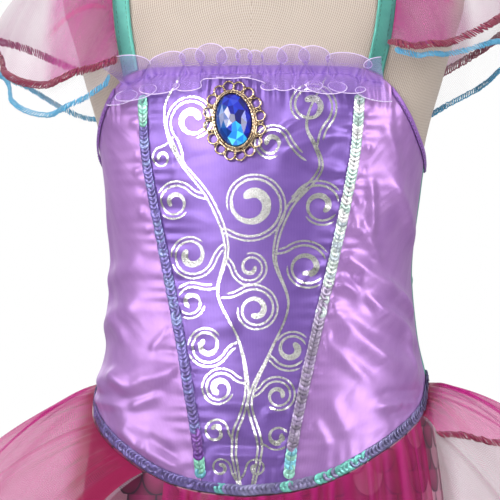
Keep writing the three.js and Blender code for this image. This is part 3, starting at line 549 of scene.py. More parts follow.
def set_on_points(name, shape, finish, places, facing, along, colour_and_painted_light=None, tilt=0.0, spread=0.0, seed=1):
    """A plain mesh of a small shape set on points. Shape is a pair of points and faces in millimetres."""
    source = bpy.data.objects.new(f"{name} shape", joined_mesh(f"{name} shape", [shape]))
    points = bpy.data.meshes.new(f"{name} points")
    points.from_pydata((np.asarray(places) * MM).tolist(), [], [])
    paint(points, "facing", facing)
    paint(points, "along", along)
    if colour_and_painted_light is not None:
        paint(points, "colour_and_painted_light", colour_and_painted_light)
    holder = bpy.data.objects.new(name, points)
    for thing in (source, holder):
        bpy.context.collection.objects.link(thing)
    change = holder.modifiers.new("set", "NODES")
    change.node_group = SETTING
    given = {"Shape": source, "Finish": finish, "Tilt": tilt, "Size Spread": spread, "Seed": seed}
    for socket, value in given.items():
        change[SETTING.interface.items_tree[socket].identifier] = value
    bpy.context.view_layer.update()
    ready = bpy.context.evaluated_depsgraph_get()
    mesh = bpy.data.meshes.new_from_object(holder.evaluated_get(ready), depsgraph=ready)
    for thing in (holder, source):
        bpy.data.objects.remove(thing)
    print(name, len(places), "copies", len(mesh.polygons), "faces")
    return mesh


# %% [markdown]
# ## The dress form
# A torso of foam under a beige jersey cover, knitted with fine upright ribs. The ribs are 1.3 mm apart, so
# they are drawn at their real size, as a shade of colour and a shallow bump. The stand is powder-coated
# steel.


# %% Finishes of the form
def new_finish(name, settings):
    """A material with its Principled shader's sockets set."""
    material = bpy.data.materials.new(name)
    material.use_nodes = True
    shader = material.node_tree.nodes["Principled BSDF"]
    for socket, value in settings.items():
        shader.inputs[socket].default_value = value
    return material, material.node_tree, shader


def feed(shader, outputs):
    """Links other nodes' outputs to the shader's sockets."""
    for socket, output in outputs.items():
        shader.id_data.links.new(output, shader.inputs[socket])


def bands_scale(pitch):
    """The Wave texture's scale for bands that many millimetres apart."""
    return 2 * math.pi / (20 * pitch * MM)


# Cotton jersey: matt, warm beige, with upright wales that read as fine darker lines.
jersey, tree, shader = new_finish("cotton jersey, knitted", {"Roughness": 0.95, "Sheen Weight": 0.25,
                                                            "Specular IOR Level": 0.2})
cloth_map = add_node(tree, "ShaderNodeUVMap", {"uv_map": "cloth"})
ribs = add_node(tree, "ShaderNodeTexWave", {"bands_direction": "X"},
                {"Scale": bands_scale(1.3), "Distortion": 0.6, "Detail": 1.0, "Detail Scale": 2.0},
                {"Vector": cloth_map.outputs[0]})
stitches = add_node(tree, "ShaderNodeTexWave", {"bands_direction": "Y"}, {"Scale": bands_scale(1.7)},
                    {"Vector": cloth_map.outputs[0]})
knit = add_node(tree, "ShaderNodeMath", {"operation": "MULTIPLY_ADD"}, {1: 0.3},
                {0: stitches.outputs["Fac"], 2: ribs.outputs["Fac"]})
shade = add_node(tree, "ShaderNodeValToRGB", links={0: knit.outputs[0]},
                 ramp=((0, "#94867a"), (0.75, "#c0b3a8")))
bump = add_node(tree, "ShaderNodeBump", values={"Strength": 0.35, "Distance": 0.0004},
                links={"Height": knit.outputs[0]})
feed(shader, {"Base Color": shade.outputs[0], "Normal": bump.outputs[0]})

# Powder-coated steel: off-white, with the slight orange peel of baked powder.
steel, tree, shader = new_finish("steel, powder coated", {"Base Color": colour("#d9d7d2"), "Roughness": 0.42})
place = add_node(tree, "ShaderNodeTexCoord")
peel = add_node(tree, "ShaderNodeTexNoise", values={"Scale": 900, "Detail": 2},
                links={"Vector": place.outputs["Object"]})
bump = add_node(tree, "ShaderNodeBump", values={"Strength": 0.12, "Distance": 0.0003},
                links={"Height": peel.outputs[0]})
feed(shader, {"Normal": bump.outputs[0]})
floor_paint = new_finish("floor, matt paint", {"Base Color": colour("#f4f3f1"), "Roughness": 0.9})[0]
floor_mesh.materials.append(floor_paint)

# %% Torso
TORSO_COLUMNS = 144
heights = np.concatenate([np.linspace(424, 446, 10), np.linspace(450, 800, 100), np.linspace(804, 880, 42),
                          np.linspace(883, 905, 14)])
turns = np.linspace(0, 360, TORSO_COLUMNS + 1)
rings = section_point(FORM, *np.meshgrid(turns, heights))
underside = [rings[:1] * [share, share, 1] for share in (1e-6, 0.5, 0.9)]
cap = [rings[-1:] * [share, share, 1] for share in (0.9, 0.5, 1e-6)]
torso_mesh = grid_mesh("torso_jersey", np.concatenate(underside + [rings] + cap), joined=True)
add_piece("torso_jersey", torso_mesh, jersey, ["form_torso"])
print("torso faces", len(torso_mesh.polygons))


# %% Stand
def turned_shape(name, profile, sides):
    """A shape turned about the upright axis, from pairs of radius and height."""
    angles = np.radians(np.linspace(0, 360, sides + 1))
    profile = np.array(profile, float)
    points = np.stack(np.broadcast_arrays(profile[:, :1] * np.sin(angles), -profile[:, :1] * np.cos(angles),
                                          profile[:, 1:]), -1)
    return grid_mesh(name, points, joined=True)


TINY = 1e-6
BASE_PROFILE = [(TINY, 0), (60, 0), (133, 0), (134.6, 0.6), (135, 2), (135, 6), (134, 7.6), (131.5, 9.4),
                (129, 10), (60, 10), (TINY, 10)]
POLE_PROFILE = [(TINY, 10.3), (12, 10.3), (12.5, 11), (12.5, 200), (12.5, 423), (12, 423.7), (TINY, 423.7)]
add_piece("stand_base_steel", turned_shape("stand_base_steel", BASE_PROFILE, 96), steel,
          ["stand_base"])
add_piece("stand_pole_steel", turned_shape("stand_pole_steel", POLE_PROFILE, 48), steel,
          ["stand_pole"])
print("stand of two pieces")

# %% [markdown]
# ## Satin
# Polyester satin has long floats on its face, so it shines softly in wide bands across the weave, and its
# colour deepens in the hollows. The threads are 0.3 mm apart, too fine to show, so they are drawn 0.9 mm
# apart.


# %% Satin finish
SATIN_THREADS = 0.9


def satin(name, face, deep, roughness=0.4):
    """Satin of one colour on its face, and a deeper one between its threads."""
    material, tree, shader = new_finish(name, {
        "Roughness": roughness, "Specular IOR Level": 0.7, "Metallic": 0.4, "Anisotropic": 0.5,
        "Anisotropic Rotation": 0.25, "Sheen Weight": 0.1, "Sheen Roughness": 0.35,
        "Sheen Tint": colour("#f3e4ff")})
    cloth_map = add_node(tree, "ShaderNodeUVMap", {"uv_map": "cloth"})
    threads = add_node(tree, "ShaderNodeTexWave", {"bands_direction": "X"},
                       {"Scale": bands_scale(SATIN_THREADS), "Distortion": 1.5, "Detail": 2.0,
                        "Detail Scale": 1.2}, {"Vector": cloth_map.outputs[0]})
    slub = add_node(tree, "ShaderNodeTexNoise", values={"Scale": 60, "Detail": 4, "Roughness": 0.6},
                    links={"Vector": cloth_map.outputs[0]})
    mixed = add_node(tree, "ShaderNodeMath", {"operation": "MULTIPLY_ADD"}, {1: 0.25},
                     {0: threads.outputs["Fac"], 2: slub.outputs[0]})
    tint = add_node(tree, "ShaderNodeValToRGB", links={0: mixed.outputs[0]},
                    ramp=((0.25, deep), (0.85, face)))
    pulled = add_node(tree, "ShaderNodeVectorMath", {"operation": "MULTIPLY"}, {1: (1, 1.9, 1)},
                      {0: cloth_map.outputs[0]})
    crinkle = add_node(tree, "ShaderNodeTexNoise", None,
                       {"Scale": 24, "Detail": 1.5, "Roughness": 0.4, "Distortion": 0.8},
                       {"Vector": pulled.outputs[0]})
    soft = add_node(tree, "ShaderNodeBump", values={"Strength": 0.25, "Distance": 0.004},
                    links={"Height": crinkle.outputs[0]})
    bump = add_node(tree, "ShaderNodeBump", values={"Strength": 0.06, "Distance": 0.0004},
                    links={"Height": mixed.outputs[0], "Normal": soft.outputs[0]})
    feed(shader, {"Base Color": tint.outputs[0], "Normal": bump.outputs[0]})
    return material


lilac_satin = satin("polyester satin, lilac", "#b688cb", "#9d6db6")
lavender_satin = satin("polyester satin, lavender", "#8361b4", "#6a499c")
purple_satin = satin("polyester satin, purple binding", "#a873cc", "#9160ba", 0.5)
teal_satin = satin("polyester satin, teal", "#58aa9c", "#438f84", 0.5)

# %% [markdown]
# ## Bodice panels
# Each panel runs between two seams, from the pointed lower edge up to the neck and armhole, 0.3 mm from its
# neighbours, as the part's solids do. The grids are about 1.3 mm fine, so creases are shape and not only
# bump.


# %% Five panels
def panel_points(across, high, start, end, out):
    u, v = np.meshgrid(np.linspace(0, 1, across + 1), np.linspace(0, 1, high + 1))
    z = np.full(u.shape, 640.0)
    for _ in range(8):
        angle = start(z) + (end(z) - start(z)) * u
        z = bottom_edge(angle) + (top_edge(angle) - bottom_edge(angle)) * v
    return satin_point(angle, z, out)


SATIN_WALL = 0.8
OUTER = EASE + CLOTH


def seam_at(side, inset=0):
    """The angle of one edge along a princess seam, at a height."""
    return lambda z: side * (angle_at(princess_x(z), z) + HALF_GAP) + inset


def upright_at(angle):
    return lambda z: angle + 0 * z


# name, columns, rows, from, to, finish, slot, and the cut's width, length and area in metres
PANELS = (
    ("centre_front", 96, 190, seam_at(-1, 2 * HALF_GAP), seam_at(1, -2 * HALF_GAP),
     lavender_satin, "lavender_satin", 0.135, 0.256, 0.0249),
    ("side_front_left", 78, 190, seam_at(1), upright_at(90 - HALF_GAP),
     lilac_satin, "lilac_satin", 0.112, 0.262, 0.0195),
    ("side_front_right", 78, 190, upright_at(HALF_GAP - 90), seam_at(-1),
     lilac_satin, "lilac_satin", 0.112, 0.262, 0.0195),
    ("back_left", 90, 110, upright_at(90 + HALF_GAP), upright_at(180 - HALF_GAP),
     teal_satin, "teal_satin", 0.145, 0.188, 0.0215),
    ("back_right", 90, 110, upright_at(180 + HALF_GAP), upright_at(270 - HALF_GAP),
     teal_satin, "teal_satin", 0.145, 0.188, 0.0215),
)
for name, across, high, start, end, finish, slot, width, length, area in PANELS:
    mesh = grid_mesh(f"{name}_satin", panel_points(across, high, start, end, OUTER))
    piece = thicken(add_piece(f"{name}_satin", mesh, finish, [name]), SATIN_WALL)
    declare_sheet(piece, (width, length), "stretched", ["torso_jersey"], area=area)

# %% [markdown]
# ## The foil print
# The centre panel has a silver foil print of vines and scrolls, pressed on hot. Foil is a thin mirror film,
# so it flashes white or goes grey with the folds, and it is a little worn. Each stroke is a flat ribbon on
# the satin: a tail leaves a vine, then winds into a spiral whose end swells like a comma. The layout is
# this file's own.

# %% Silver foil
foil, tree, shader = new_finish("foil print, silver", {"Metallic": 1.0, "Roughness": 0.24})
place = add_node(tree, "ShaderNodeTexCoord")
speckle = add_node(tree, "ShaderNodeTexNoise", values={"Scale": 1100, "Detail": 3, "Roughness": 0.7},
                   links={"Vector": place.outputs["Object"]})
worn = add_node(tree, "ShaderNodeValToRGB", links={0: speckle.outputs[0]},
                ramp=((0.34, "#5f5c59"), (0.52, "#f2f1ee")))
rough = add_node(tree, "ShaderNodeMapRange", values={1: 0.35, 2: 0.7, 3: 0.42, 4: 0.14},
                 links={0: speckle.outputs[0]})
bump = add_node(tree, "ShaderNodeBump", values={"Strength": 0.3, "Distance": 0.0002},
                links={"Height": speckle.outputs[0]})
feed(shader, {"Base Color": worn.outputs[0], "Roughness": rough.outputs[0], "Normal": bump.outputs[0]})

# %% Vines and scrolls
VINES = {
    "left": table("z x", (522, -3), (548, -6), (576, 1), (606, -4), (634, -17), (662, -12), (690, -22),
                  (716, -42), (742, -50), (764, -40)),
    "right": table("z x", (522, 5), (546, 9), (572, 3), (600, 14), (628, 24), (656, 16), (684, 24), (708, 42),
                   (734, 34), (764, 46)),
}
SCROLLS = table(
    "x z radius turns hand joint_x joint_z thin comma",
    (-33, 736, 13.5, 1.6, -1, -38, 708, 1.1, 5.2), (36, 744, 13, 1.5, 1, 40, 720, 1.1, 4.8),
    (3, 687, 20, 1.75, 1, -16, 672, 1.2, 7.0), (-43, 688, 10.5, 1.5, 1, -24, 690, 1.0, 3.6),
    (42, 686, 13, 1.6, -1, 25, 688, 1.1, 4.4), (-33, 657, 12.5, 1.6, -1, -13, 664, 1.1, 5.0),
    (34, 650, 13.5, 1.7, -1, 16, 658, 1.1, 4.4), (2, 650, 9, 1.5, 1, -12, 656, 1.0, 3.0),
    (-33, 629, 9.5, 1.5, 1, -17, 638, 1.0, 3.2), (5, 625, 12.5, 1.7, -1, -15, 632, 1.1, 4.2),
    (26, 602, 11, 1.6, 1, 13, 598, 1.1, 4.8), (-23, 604, 11, 1.6, -1, -5, 606, 1.1, 3.8),
    (-15, 579, 9.5, 1.6, 1, 0, 582, 1.1, 4.6), (19, 575, 9, 1.5, -1, 4, 574, 1.0, 3.2),
    (-17, 554, 8, 1.4, 1, -6, 549, 1.1, 3.8), (19, 551, 8, 1.5, 1, 9, 547, 1.1, 4.0),
    (7, 533, 6, 1.3, -1, -3, 526, 1.0, 2.4), (-14, 533, 6, 1.3, 1, -3, 524, 1.0, 2.8),
    (14, 722, 9, 1.5, 1, 34, 712, 1.1, 3.6), (-51, 714, 6.5, 1.3, 1, -44, 726, 1.0, 2.6))
DOUBLE_OFFSET = 2.6
FOIL_WIDER = 1.2
FOIL_LIFT, FOIL_HALF_HIGH = 0.16, 0.05
KEEP_FROM_BRAID = TRIM_WIDTH / 2 + 1
TAIL_BEND = 0.3


def scroll_line(row):
    """A scroll's line in the panel's plane, from its joint on a vine to its middle, and its width."""
    centre = np.array([row["x"], row["z"]])
    joint = np.array([row["joint_x"], row["joint_z"]])
    apart = joint - centre
    touching = math.acos(min(row["radius"] / float(np.hypot(*apart)), 0.95))
    leave = math.atan2(apart[1], apart[0]) + row["hand"] * (touching - TAIL_BEND)
    outer = centre + row["radius"] * np.array([np.cos(leave), np.sin(leave)])
    heading = row["hand"] * np.array([-np.sin(leave), np.cos(leave)])
    bend = outer - heading * np.linalg.norm(outer - joint) * 0.55
    t = np.linspace(0, 1, 24, endpoint=False)[:, None]
    tail = joint * (1 - t) ** 2 + bend * 2 * t * (1 - t) + outer * t**2
    t = np.linspace(0, 1, 90)
    turn = leave + row["hand"] * 2 * np.pi * row["turns"] * t
    reach = row["radius"] * (1 - 0.74 * t**0.9)
    coil = centre + np.stack([reach * np.cos(turn), reach * np.sin(turn)], -1)
    swell = smoothstep(t, 0.4, 0.85) * np.sqrt(np.clip((1.03 - t) / 0.12, 0, 1))
    width = row["thin"] + (0.7 * row["comma"] - row["thin"]) * swell
    return np.concatenate([tail, coil]), FOIL_WIDER * np.concatenate([np.full(24, row["thin"]), width])


def stroke(flat, width):
    """Ribbons along a line, left out where the braid covers the panel."""
    inside = abs(flat[:, 0]) < princess_x(flat[:, 1]) - KEEP_FROM_BRAID
    edges = np.flatnonzero(np.diff(np.concatenate([[0], inside.astype(int), [0]])))
    made = []
    for start, end in zip(edges[::2], edges[1::2]):
        if end - start > 3:
            x, z = flat[start:end].T
            points, facing = on_bodice(angle_at(x, z), z, OUTER + FOIL_LIFT)
            ends = np.minimum(1, np.minimum(np.arange(end - start), np.arange(end - start)[::-1]) / 3 + 0.35)
            made.append(cord(points, facing, width[start:end] * ends / math.sqrt(2), FOIL_HALF_HIGH, sides=4))
    return made


def beside(flat, offset):
    """The line moved aside by an offset."""
    ahead = unit(np.gradient(flat, axis=0))
    return flat + np.stack([-ahead[:, 1], ahead[:, 0]], -1) * np.broadcast_to(offset, len(flat))[:, None]


strokes = []
for vine in VINES.values():
    z = np.linspace(520, 764, 160)
    line = np.stack([column(vine, "z", z, "x"), z], -1)
    waist = 0.5 + 0.5 * np.sin((z - 520) / 21)
    strokes += stroke(beside(line, 0.5 * DOUBLE_OFFSET * waist), np.full(160, 1.3))
    strokes += stroke(beside(line, -0.5 * DOUBLE_OFFSET * waist), np.full(160, 1.3))
for values in zip(*SCROLLS.values()):
    row = dict(zip(SCROLLS, values))
    line, width = scroll_line(row)
    strokes += stroke(line, width)
    if row["radius"] > 8.5:
        strokes += stroke(beside(line[6:70], -row["hand"] * DOUBLE_OFFSET), np.full(64, 1.15))
foil_mesh = joined_mesh("foil_scrolls", strokes)
add_piece("foil_scrolls", foil_mesh, foil)
foil_mesh.shade_flat()
print("foil strokes", len(strokes), "faces", len(foil_mesh.polygons))

# %% [markdown]
# ## Sequin braid
# Cup sequins of about 6 mm, punched from iridescent film and stitched through the middle, overlap every 2.6
# mm. The film flashes aqua-mint where a sequin tips towards the light, and is lavender, grey or purple
# elsewhere. Here each sequin gets a fixed colour by its place along the row: the aqua-mint and white ones
# are painted flashes of light, the lavender, grey and purple ones the film's own colour.

# %% Iridescent sequins
sequin_film, tree, shader = new_finish("sequin film, iridescent", {
    "Metallic": 0.35, "Roughness": 0.36, "Coat Weight": 0.25, "Coat Roughness": 0.12})
# each sequin's stored colour: the film's own colour or a painted flash of light, varied by a random tone
colour_and_painted_light = add_node(tree, "ShaderNodeAttribute", {"attribute_name": "colour_and_painted_light"})
place = add_node(tree, "ShaderNodeTexCoord")
drift = add_node(tree, "ShaderNodeTexNoise", values={"Scale": 420, "Detail": 2},
                 links={"Vector": place.outputs["Object"]})
shift = add_node(tree, "ShaderNodeMapRange", values={1: 0.3, 2: 0.7, 3: 0.75, 4: 1.25},
                 links={0: drift.outputs[0]})
tinted = add_node(tree, "ShaderNodeVectorMath", {"operation": "SCALE"},
                  links={0: colour_and_painted_light.outputs["Color"], "Scale": shift.outputs[0]})
feed(shader, {"Base Color": tinted.outputs[0]})

SEQUIN_PITCH = 2.6
SEQUIN_SIDES = 14
SEQUIN_RINGS = ((0.5, -0.02), (2.2, 0.0), (3.3, 0.05))


def sequin_shape():
    """A cupped disc with a stitch hole, as a thin closed ring."""
    turns = 2 * np.pi * np.arange(SEQUIN_SIDES) / SEQUIN_SIDES
    profile = [*SEQUIN_RINGS, *((radius, height - 0.12) for radius, height in SEQUIN_RINGS[::-1])]
    points = [(radius * math.cos(a), radius * math.sin(a), height)
              for radius, height in profile for a in turns]
    return points, ring_faces(len(profile), SEQUIN_SIDES, True)


rng = np.random.default_rng(7)


# aqua-mint and white codes are painted flashes of light; lavender, grey and purple are the film's colour
def sequin_colours_and_painted_flashes(shares, stops):
    """A colour for each sequin, from stops along the row: share, main code, second code, how often."""
    colours_and_flashes = []
    for share in shares:
        stop = max((row for row in stops if row[0] <= share), key=lambda row: row[0])
        base = np.array(colour(stop[2] if rng.random() < stop[3] else stop[1]))
        colours_and_flashes.append(np.append(np.clip(base[:3] * rng.uniform(0.62, 0.98), 0, 1), 1))
    return colours_and_flashes


# the aqua-mint and white stops near the ends are painted flashes of light, the rest the film's own colour
BRAIDS = {
    "left": {"side": 1, "stops": [(0, "#a8e8d6", "#8ad8ea", 0.5), (0.07, "#9d8fa8", "#b7a3c9", 0.5),
                                 (0.35, "#b9a9c8", "#d9e6e6", 0.3), (0.5, "#c9d6e0", "#e9f6f0", 0.45),
                                 (0.68, "#d3efe6", "#ffffff", 0.5)]},
    "right": {"side": -1, "stops": [(0, "#8fd8c0", "#7ac8dc", 0.6), (0.05, "#7a3fa8", "#8c56b4", 0.4),
                                   (0.12, "#7a66b0", "#8483c4", 0.25), (0.28, "#8072bc", "#8f96d0", 0.3),
                                   (0.93, "#9ff0d6", "#c9fff0", 0.5)]},
}
BRAID_TOP = 752
BRAID_BOTTOM = float(bottom_edge(22)) + TRIM_WIDTH + SEAM_GAP
BRAID_OUT = ON_PANEL + 0.45
OVERLAP_LEAN, SEQUIN_TILT, SEQUIN_SPREAD = 0.08, 0.12, 0.04


def add_braid(name, angle, z, stops, seed):
    """A row of sequins along a line on the bodice, each leaning on the one before it."""
    where, facing, along, shares = along_line(*on_bodice(angle, z, BRAID_OUT), SEQUIN_PITCH)
    leaning = unit(facing + OVERLAP_LEAN * along)
    mesh = set_on_points(f"sequins_{name}", sequin_shape(), sequin_film, where, leaning, along,
                         sequin_colours_and_painted_flashes(shares, stops), SEQUIN_TILT, SEQUIN_SPREAD, seed)
    add_piece(f"sequins_{name}", mesh, sequin_film, [f"sequin_trim_{name}"])


for name, braid in BRAIDS.items():
    z = np.linspace(BRAID_BOTTOM + 2, BRAID_TOP - 2, 200)
    add_braid(name, braid["side"] * angle_at(princess_x(z), z), z, braid["stops"], 3)
# the aqua-mint codes near the front are painted flashes of light
WAIST_STOPS = [
    (0, "#7462a4", "#8070b8", 0.5), (0.435, "#7865ae", "#8a78c2", 0.4),
    (0.456, "#86dcdc", "#7a6cae", 0.35), (0.476, "#8f86bc", "#9fe8dc", 0.22),
    (0.496, "#8b84b0", "#9a93c0", 0.5), (0.536, "#86dcd0", "#7c72a8", 0.5),
    (0.556, "#8f86b2", "#a49ac8", 0.5), (0.584, "#8f86b2", "#8af0e0", 0.4),
    (0.602, "#88e4da", "#7a86b0", 0.35),
    (0.634, "#7f78a8", "#8c84b8", 0.5)]
turn = np.linspace(-180, 180, 500)
add_braid("waist", turn, bottom_edge(turn) + TRIM_WIDTH / 2, WAIST_STOPS, 5)

# %% [markdown]
# ## Bindings, closing and straps
# The armholes have a bias binding of purple satin, the back neck one of teal, and a lapped strip covers the
# back closing. The straps are teal satin tubes pressed flat, topstitched near both edges. All have rounded
# folds.


# %% Strips on the bodice
STRIP_LIFT, STRIP_CROWN, STRIP_WALL, STRIP_ROWS = 0.55, 0.55, 0.5, 8


def crowned(share, rise):
    """A folded strip's height across its width, rounded down at both edges."""
    return rise * (1 - abs(2 * share - 1) ** 4)


def strip_points(low, high, count):
    """A strip on the panels between two edges, each giving angle and height at shares of its length."""
    shares = np.linspace(0, 1, count + 1)
    (angle_a, z_a), (angle_b, z_b) = low(shares), high(shares)
    v = np.linspace(0, 1, STRIP_ROWS + 1)[:, None]
    return satin_point(angle_a + (angle_b - angle_a) * v, z_a + (z_b - z_a) * v,
                       ON_PANEL + STRIP_LIFT + crowned(v, STRIP_CROWN) + 0 * angle_a)


BINDING_WIDTH, BINDING_START = 4.5, 63
neck_start = BACK_CORNER + 3 * HALF_GAP


def bound(start, end, drop):
    def edge(shares):
        angle = start + (end - start) * shares
        return angle, top_edge(angle) - drop
    return edge


PLACKET_LOW, PLACKET_HIGH = 571 + TRIM_WIDTH + 1, 746 - BINDING_WIDTH


def placket_edge(angle):
    return lambda shares: (angle + 0 * shares, PLACKET_LOW + (PLACKET_HIGH - PLACKET_LOW - 1) * shares)


# name, lower edge, upper edge, columns, finish, slot, and the cut's width, length and area in metres
STRIPS = (
    ("armhole_binding_left", bound(BINDING_START, BACK_CORNER, BINDING_WIDTH),
     bound(BINDING_START, BACK_CORNER, 0), 150, purple_satin, "purple_satin", 0.012, 0.125, 0.00056),
    ("armhole_binding_right", bound(-BACK_CORNER, -BINDING_START, BINDING_WIDTH),
     bound(-BACK_CORNER, -BINDING_START, 0), 150, purple_satin, "purple_satin", 0.012, 0.125, 0.00056),
    ("back_neck_binding", bound(neck_start, 360 - neck_start, BINDING_WIDTH),
     bound(neck_start, 360 - neck_start, 0), 150, teal_satin, "teal_satin", 0.012, 0.158, 0.0007),
    ("back_placket", placket_edge(187), placket_edge(173),
     120, teal_satin, "teal_satin", 0.018, 0.165, 0.0027),
)
for name, low, high, count, finish, slot, width, length, area in STRIPS:
    mesh = grid_mesh(f"{name}_satin", strip_points(low, high, count))
    piece = thicken(add_piece(f"{name}_satin", mesh, finish, [name]), STRIP_WALL)
    declare_sheet(piece, (width, length), "stretched", ["torso_jersey"], area=area)

# %% Shoulder straps
STRAP = table("turn x", (5, 72), (50, 79), (90, 82), (140, 73), (190, 62))
STRAP_WIDTH, STRAP_PIVOT = 10, 760
STRAP_LIFT, STRAP_CROWN, STRAP_WALL = 0.75, 0.5, 0.7


def outside(rows, points):
    """How far points lie outside a sectioned body, measured level."""
    angle = np.degrees(np.arctan2(points[..., 0], -points[..., 1]))
    surface = section_point(rows, angle, points[..., 2])
    return np.hypot(points[..., 0], points[..., 1]) - np.hypot(surface[..., 0], surface[..., 1])


def clear_of(rows, points, margin):
    """The points moved, where needed, until they are so far clear of a sectioned body."""
    points = points.copy()
    small = 0.1
    for _ in range(5):
        here = outside(rows, points)
        slope = np.stack([outside(rows, points + small * axis) - here for axis in np.eye(3)], -1) / small
        short = margin - here / np.linalg.norm(slope, axis=-1)
        points += unit(slope) * np.maximum(short, 0)[..., None]
    return points


def over_shoulder(aside, turn, out):
    """A place on the left strap, so far aside of its middle and so many degrees up from the front."""
    aside, turn = np.broadcast_arrays(np.asarray(aside, float), np.asarray(turn, float))
    x = column(STRAP, "turn", turn, "x") + aside
    ray = np.stack([0 * turn, -np.cos(np.radians(turn)), np.sin(np.radians(turn))], -1)
    foot = np.stack([x, 0 * x, 0 * x + STRAP_PIVOT], -1)
    reach = halved(lambda d: outside(FORM, foot + ray * d[..., None]) < 0, 1, 140, turn.shape)
    return clear_of(FORM, foot + ray * reach[..., None], out)


def turn_at_edge(aside, below, above):
    """The turn at which that place comes down to the bodice's top edge."""
    def is_below(turn):
        points = over_shoulder(aside, turn, EASE)
        edge = top_edge(np.degrees(np.arctan2(points[..., 0], -points[..., 1])))
        return points[..., 2] < edge + 2 * SEAM_GAP
    return halved(is_below, below, above, np.shape(aside), 20)


MIRROR = {"left": np.array([1, 1, 1]), "right": np.array([-1, 1, 1])}
strap_across = np.linspace(-STRAP_WIDTH / 2, STRAP_WIDTH / 2, 11)
strap_from, strap_to = turn_at_edge(strap_across, -12, 40), turn_at_edge(strap_across, 200, 140)


def strap_points(aside_share, run_share, out):
    place = aside_share * STRAP_WIDTH - STRAP_WIDTH / 2
    start = np.interp(place, strap_across, strap_from)
    return over_shoulder(place, start + (np.interp(place, strap_across, strap_to) - start) * run_share, out)


u, v = np.meshgrid(np.linspace(0, 1, 11), np.linspace(0, 1, 150))
left_strap = strap_points(u, v, EASE + STRAP_LIFT + crowned(u, STRAP_CROWN))
for name, mirror in MIRROR.items():
    mesh = grid_mesh(f"strap_{name}_satin", left_strap * mirror, flip=name == "right")
    piece = add_piece(f"strap_{name}_satin", mesh, teal_satin, [f"strap_{name}"])
    declare_sheet(thicken(piece, STRAP_WALL), (0.024, 0.272), "stretched", ["torso_jersey"], area=0.0027)

# %% [markdown]
# ## Organza
# Organza is a crisp sheer weave. Where white shows through it looks pale and pink, and where it lies in
# folds or over dark cloth it looks deep magenta. Each layer is one sheer surface with partial alpha. A
# number stored on the cloth, its cover, says how dense it is: most at gathers, folded edges and over the
# body. A second number deepens its colour: the doubled cloth of folded edges, and painted shade in
# gathers, creases, the backs of loops and over dark cloth. A small painted glow stands in for the light
# that passes through from behind.


# %% Organza finishes
def organza(name, pale, deep, thin, dense, painted_glow):
    """Organza, dense by its cover, deeper by doubled cloth and painted shade; painted glow for light behind.
    """
    material, tree, shader = new_finish(name, {
        "Roughness": 0.55, "Specular IOR Level": 0.25, "Sheen Weight": 0.08, "Sheen Roughness": 0.4,
        "Emission Strength": painted_glow})
    cover = add_node(tree, "ShaderNodeAttribute", {"attribute_name": "cover"})
    depth_and_painted_shade = add_node(tree, "ShaderNodeAttribute", {"attribute_name": "depth_and_painted_shade"})
    cloth_map = add_node(tree, "ShaderNodeUVMap", {"uv_map": "cloth"})
    weave = add_node(tree, "ShaderNodeTexWave", {"bands_direction": "Y"},
                     {"Scale": bands_scale(1.3), "Distortion": 2.2, "Detail": 1.5, "Detail Scale": 0.5},
                     {"Vector": cloth_map.outputs[0]})
    # deeper colour where the stored number is high: doubled cloth, and painted shade in folds and gathers
    tint = add_node(tree, "ShaderNodeMix", {"data_type": "RGBA"}, {6: colour(pale), 7: colour(deep)},
                    {0: depth_and_painted_shade.outputs["Fac"]})
    alpha = add_node(tree, "ShaderNodeMapRange", values={3: thin, 4: dense}, links={0: cover.outputs["Fac"]})
    threads = add_node(tree, "ShaderNodeMapRange", values={3: -0.05, 4: 0.05},
                       links={0: weave.outputs["Fac"]})
    total = add_node(tree, "ShaderNodeMath", {"operation": "ADD"},
                     links={0: alpha.outputs[0], 1: threads.outputs[0]})
    feed(shader, {"Emission Color": tint.outputs[2], "Base Color": tint.outputs[2],
                  "Alpha": total.outputs[0]})
    return material


def paint_organza(mesh, cover, depth_and_painted_shade):
    """Stores how dense a layer looks at each point, and how deep its colour is, partly as painted shade."""
    paint(mesh, "cover", np.clip(cover, 0, 1).ravel())
    paint(mesh, "depth_and_painted_shade", np.clip(depth_and_painted_shade, 0, 1).ravel())


# the last number of each is a painted glow, standing in for light that passes through from behind
magenta_organza = organza("nylon organza, magenta", "#a01c7a", "#b00c50", 0.12, 0.95, 0.04)
pale_organza = organza("nylon organza, pale", "#efe8ef", "#e2c6da", 0.05, 0.3, 0.2)
hip_organza = organza("nylon organza, crimson", "#cc1a8e", "#8c0242", 0.4, 0.94, 0.06)
lavender_organza = organza("nylon organza, lavender", "#ae8ad6", "#7f58b6", 0.16, 0.92, 0.05)

# Polyester thread: soft sheen, a colour for each use.
THREADS = {"magenta": "#8e0f42", "blue": "#58b6e0", "pale": "#e3d0f5", "dark": "#4c3d63", "teal": "#2f7468",
           "violet": "#8a62ba"}
threads = {name: new_finish(f"polyester thread, {name}", {
    "Base Color": colour(code), "Roughness": 0.55, "Sheen Weight": 0.3})[0] for name, code in THREADS.items()}

# %% [markdown]
# ## Flounces
# Each flounce has two layers on one seam. It leaves the seam outwards, then falls to its free edge in waves
# that grow towards it, with fine gathers that fan out from the seam. The same rule serves shoulders and
# hips.


# %% The surface of a flounce
SMALL_SHARE = 1e-3
WAVE_DRIFT, DRIFT_TURNS = 0.8, 7               # how unevenly the waves follow each other
GATHER_FULL_AT, GATHER_LEFT = 0.12, 0.35       # where gathers are deepest, and their share at the free edge


def facing_of(surface, u, v):
    """The way a surface faces at shares of its length and depth."""
    side = surface(u + SMALL_SHARE, v) - surface(u - SMALL_SHARE, v)
    return unit(np.cross(side, surface(u, v + SMALL_SHARE) - surface(u, v - SMALL_SHARE)))


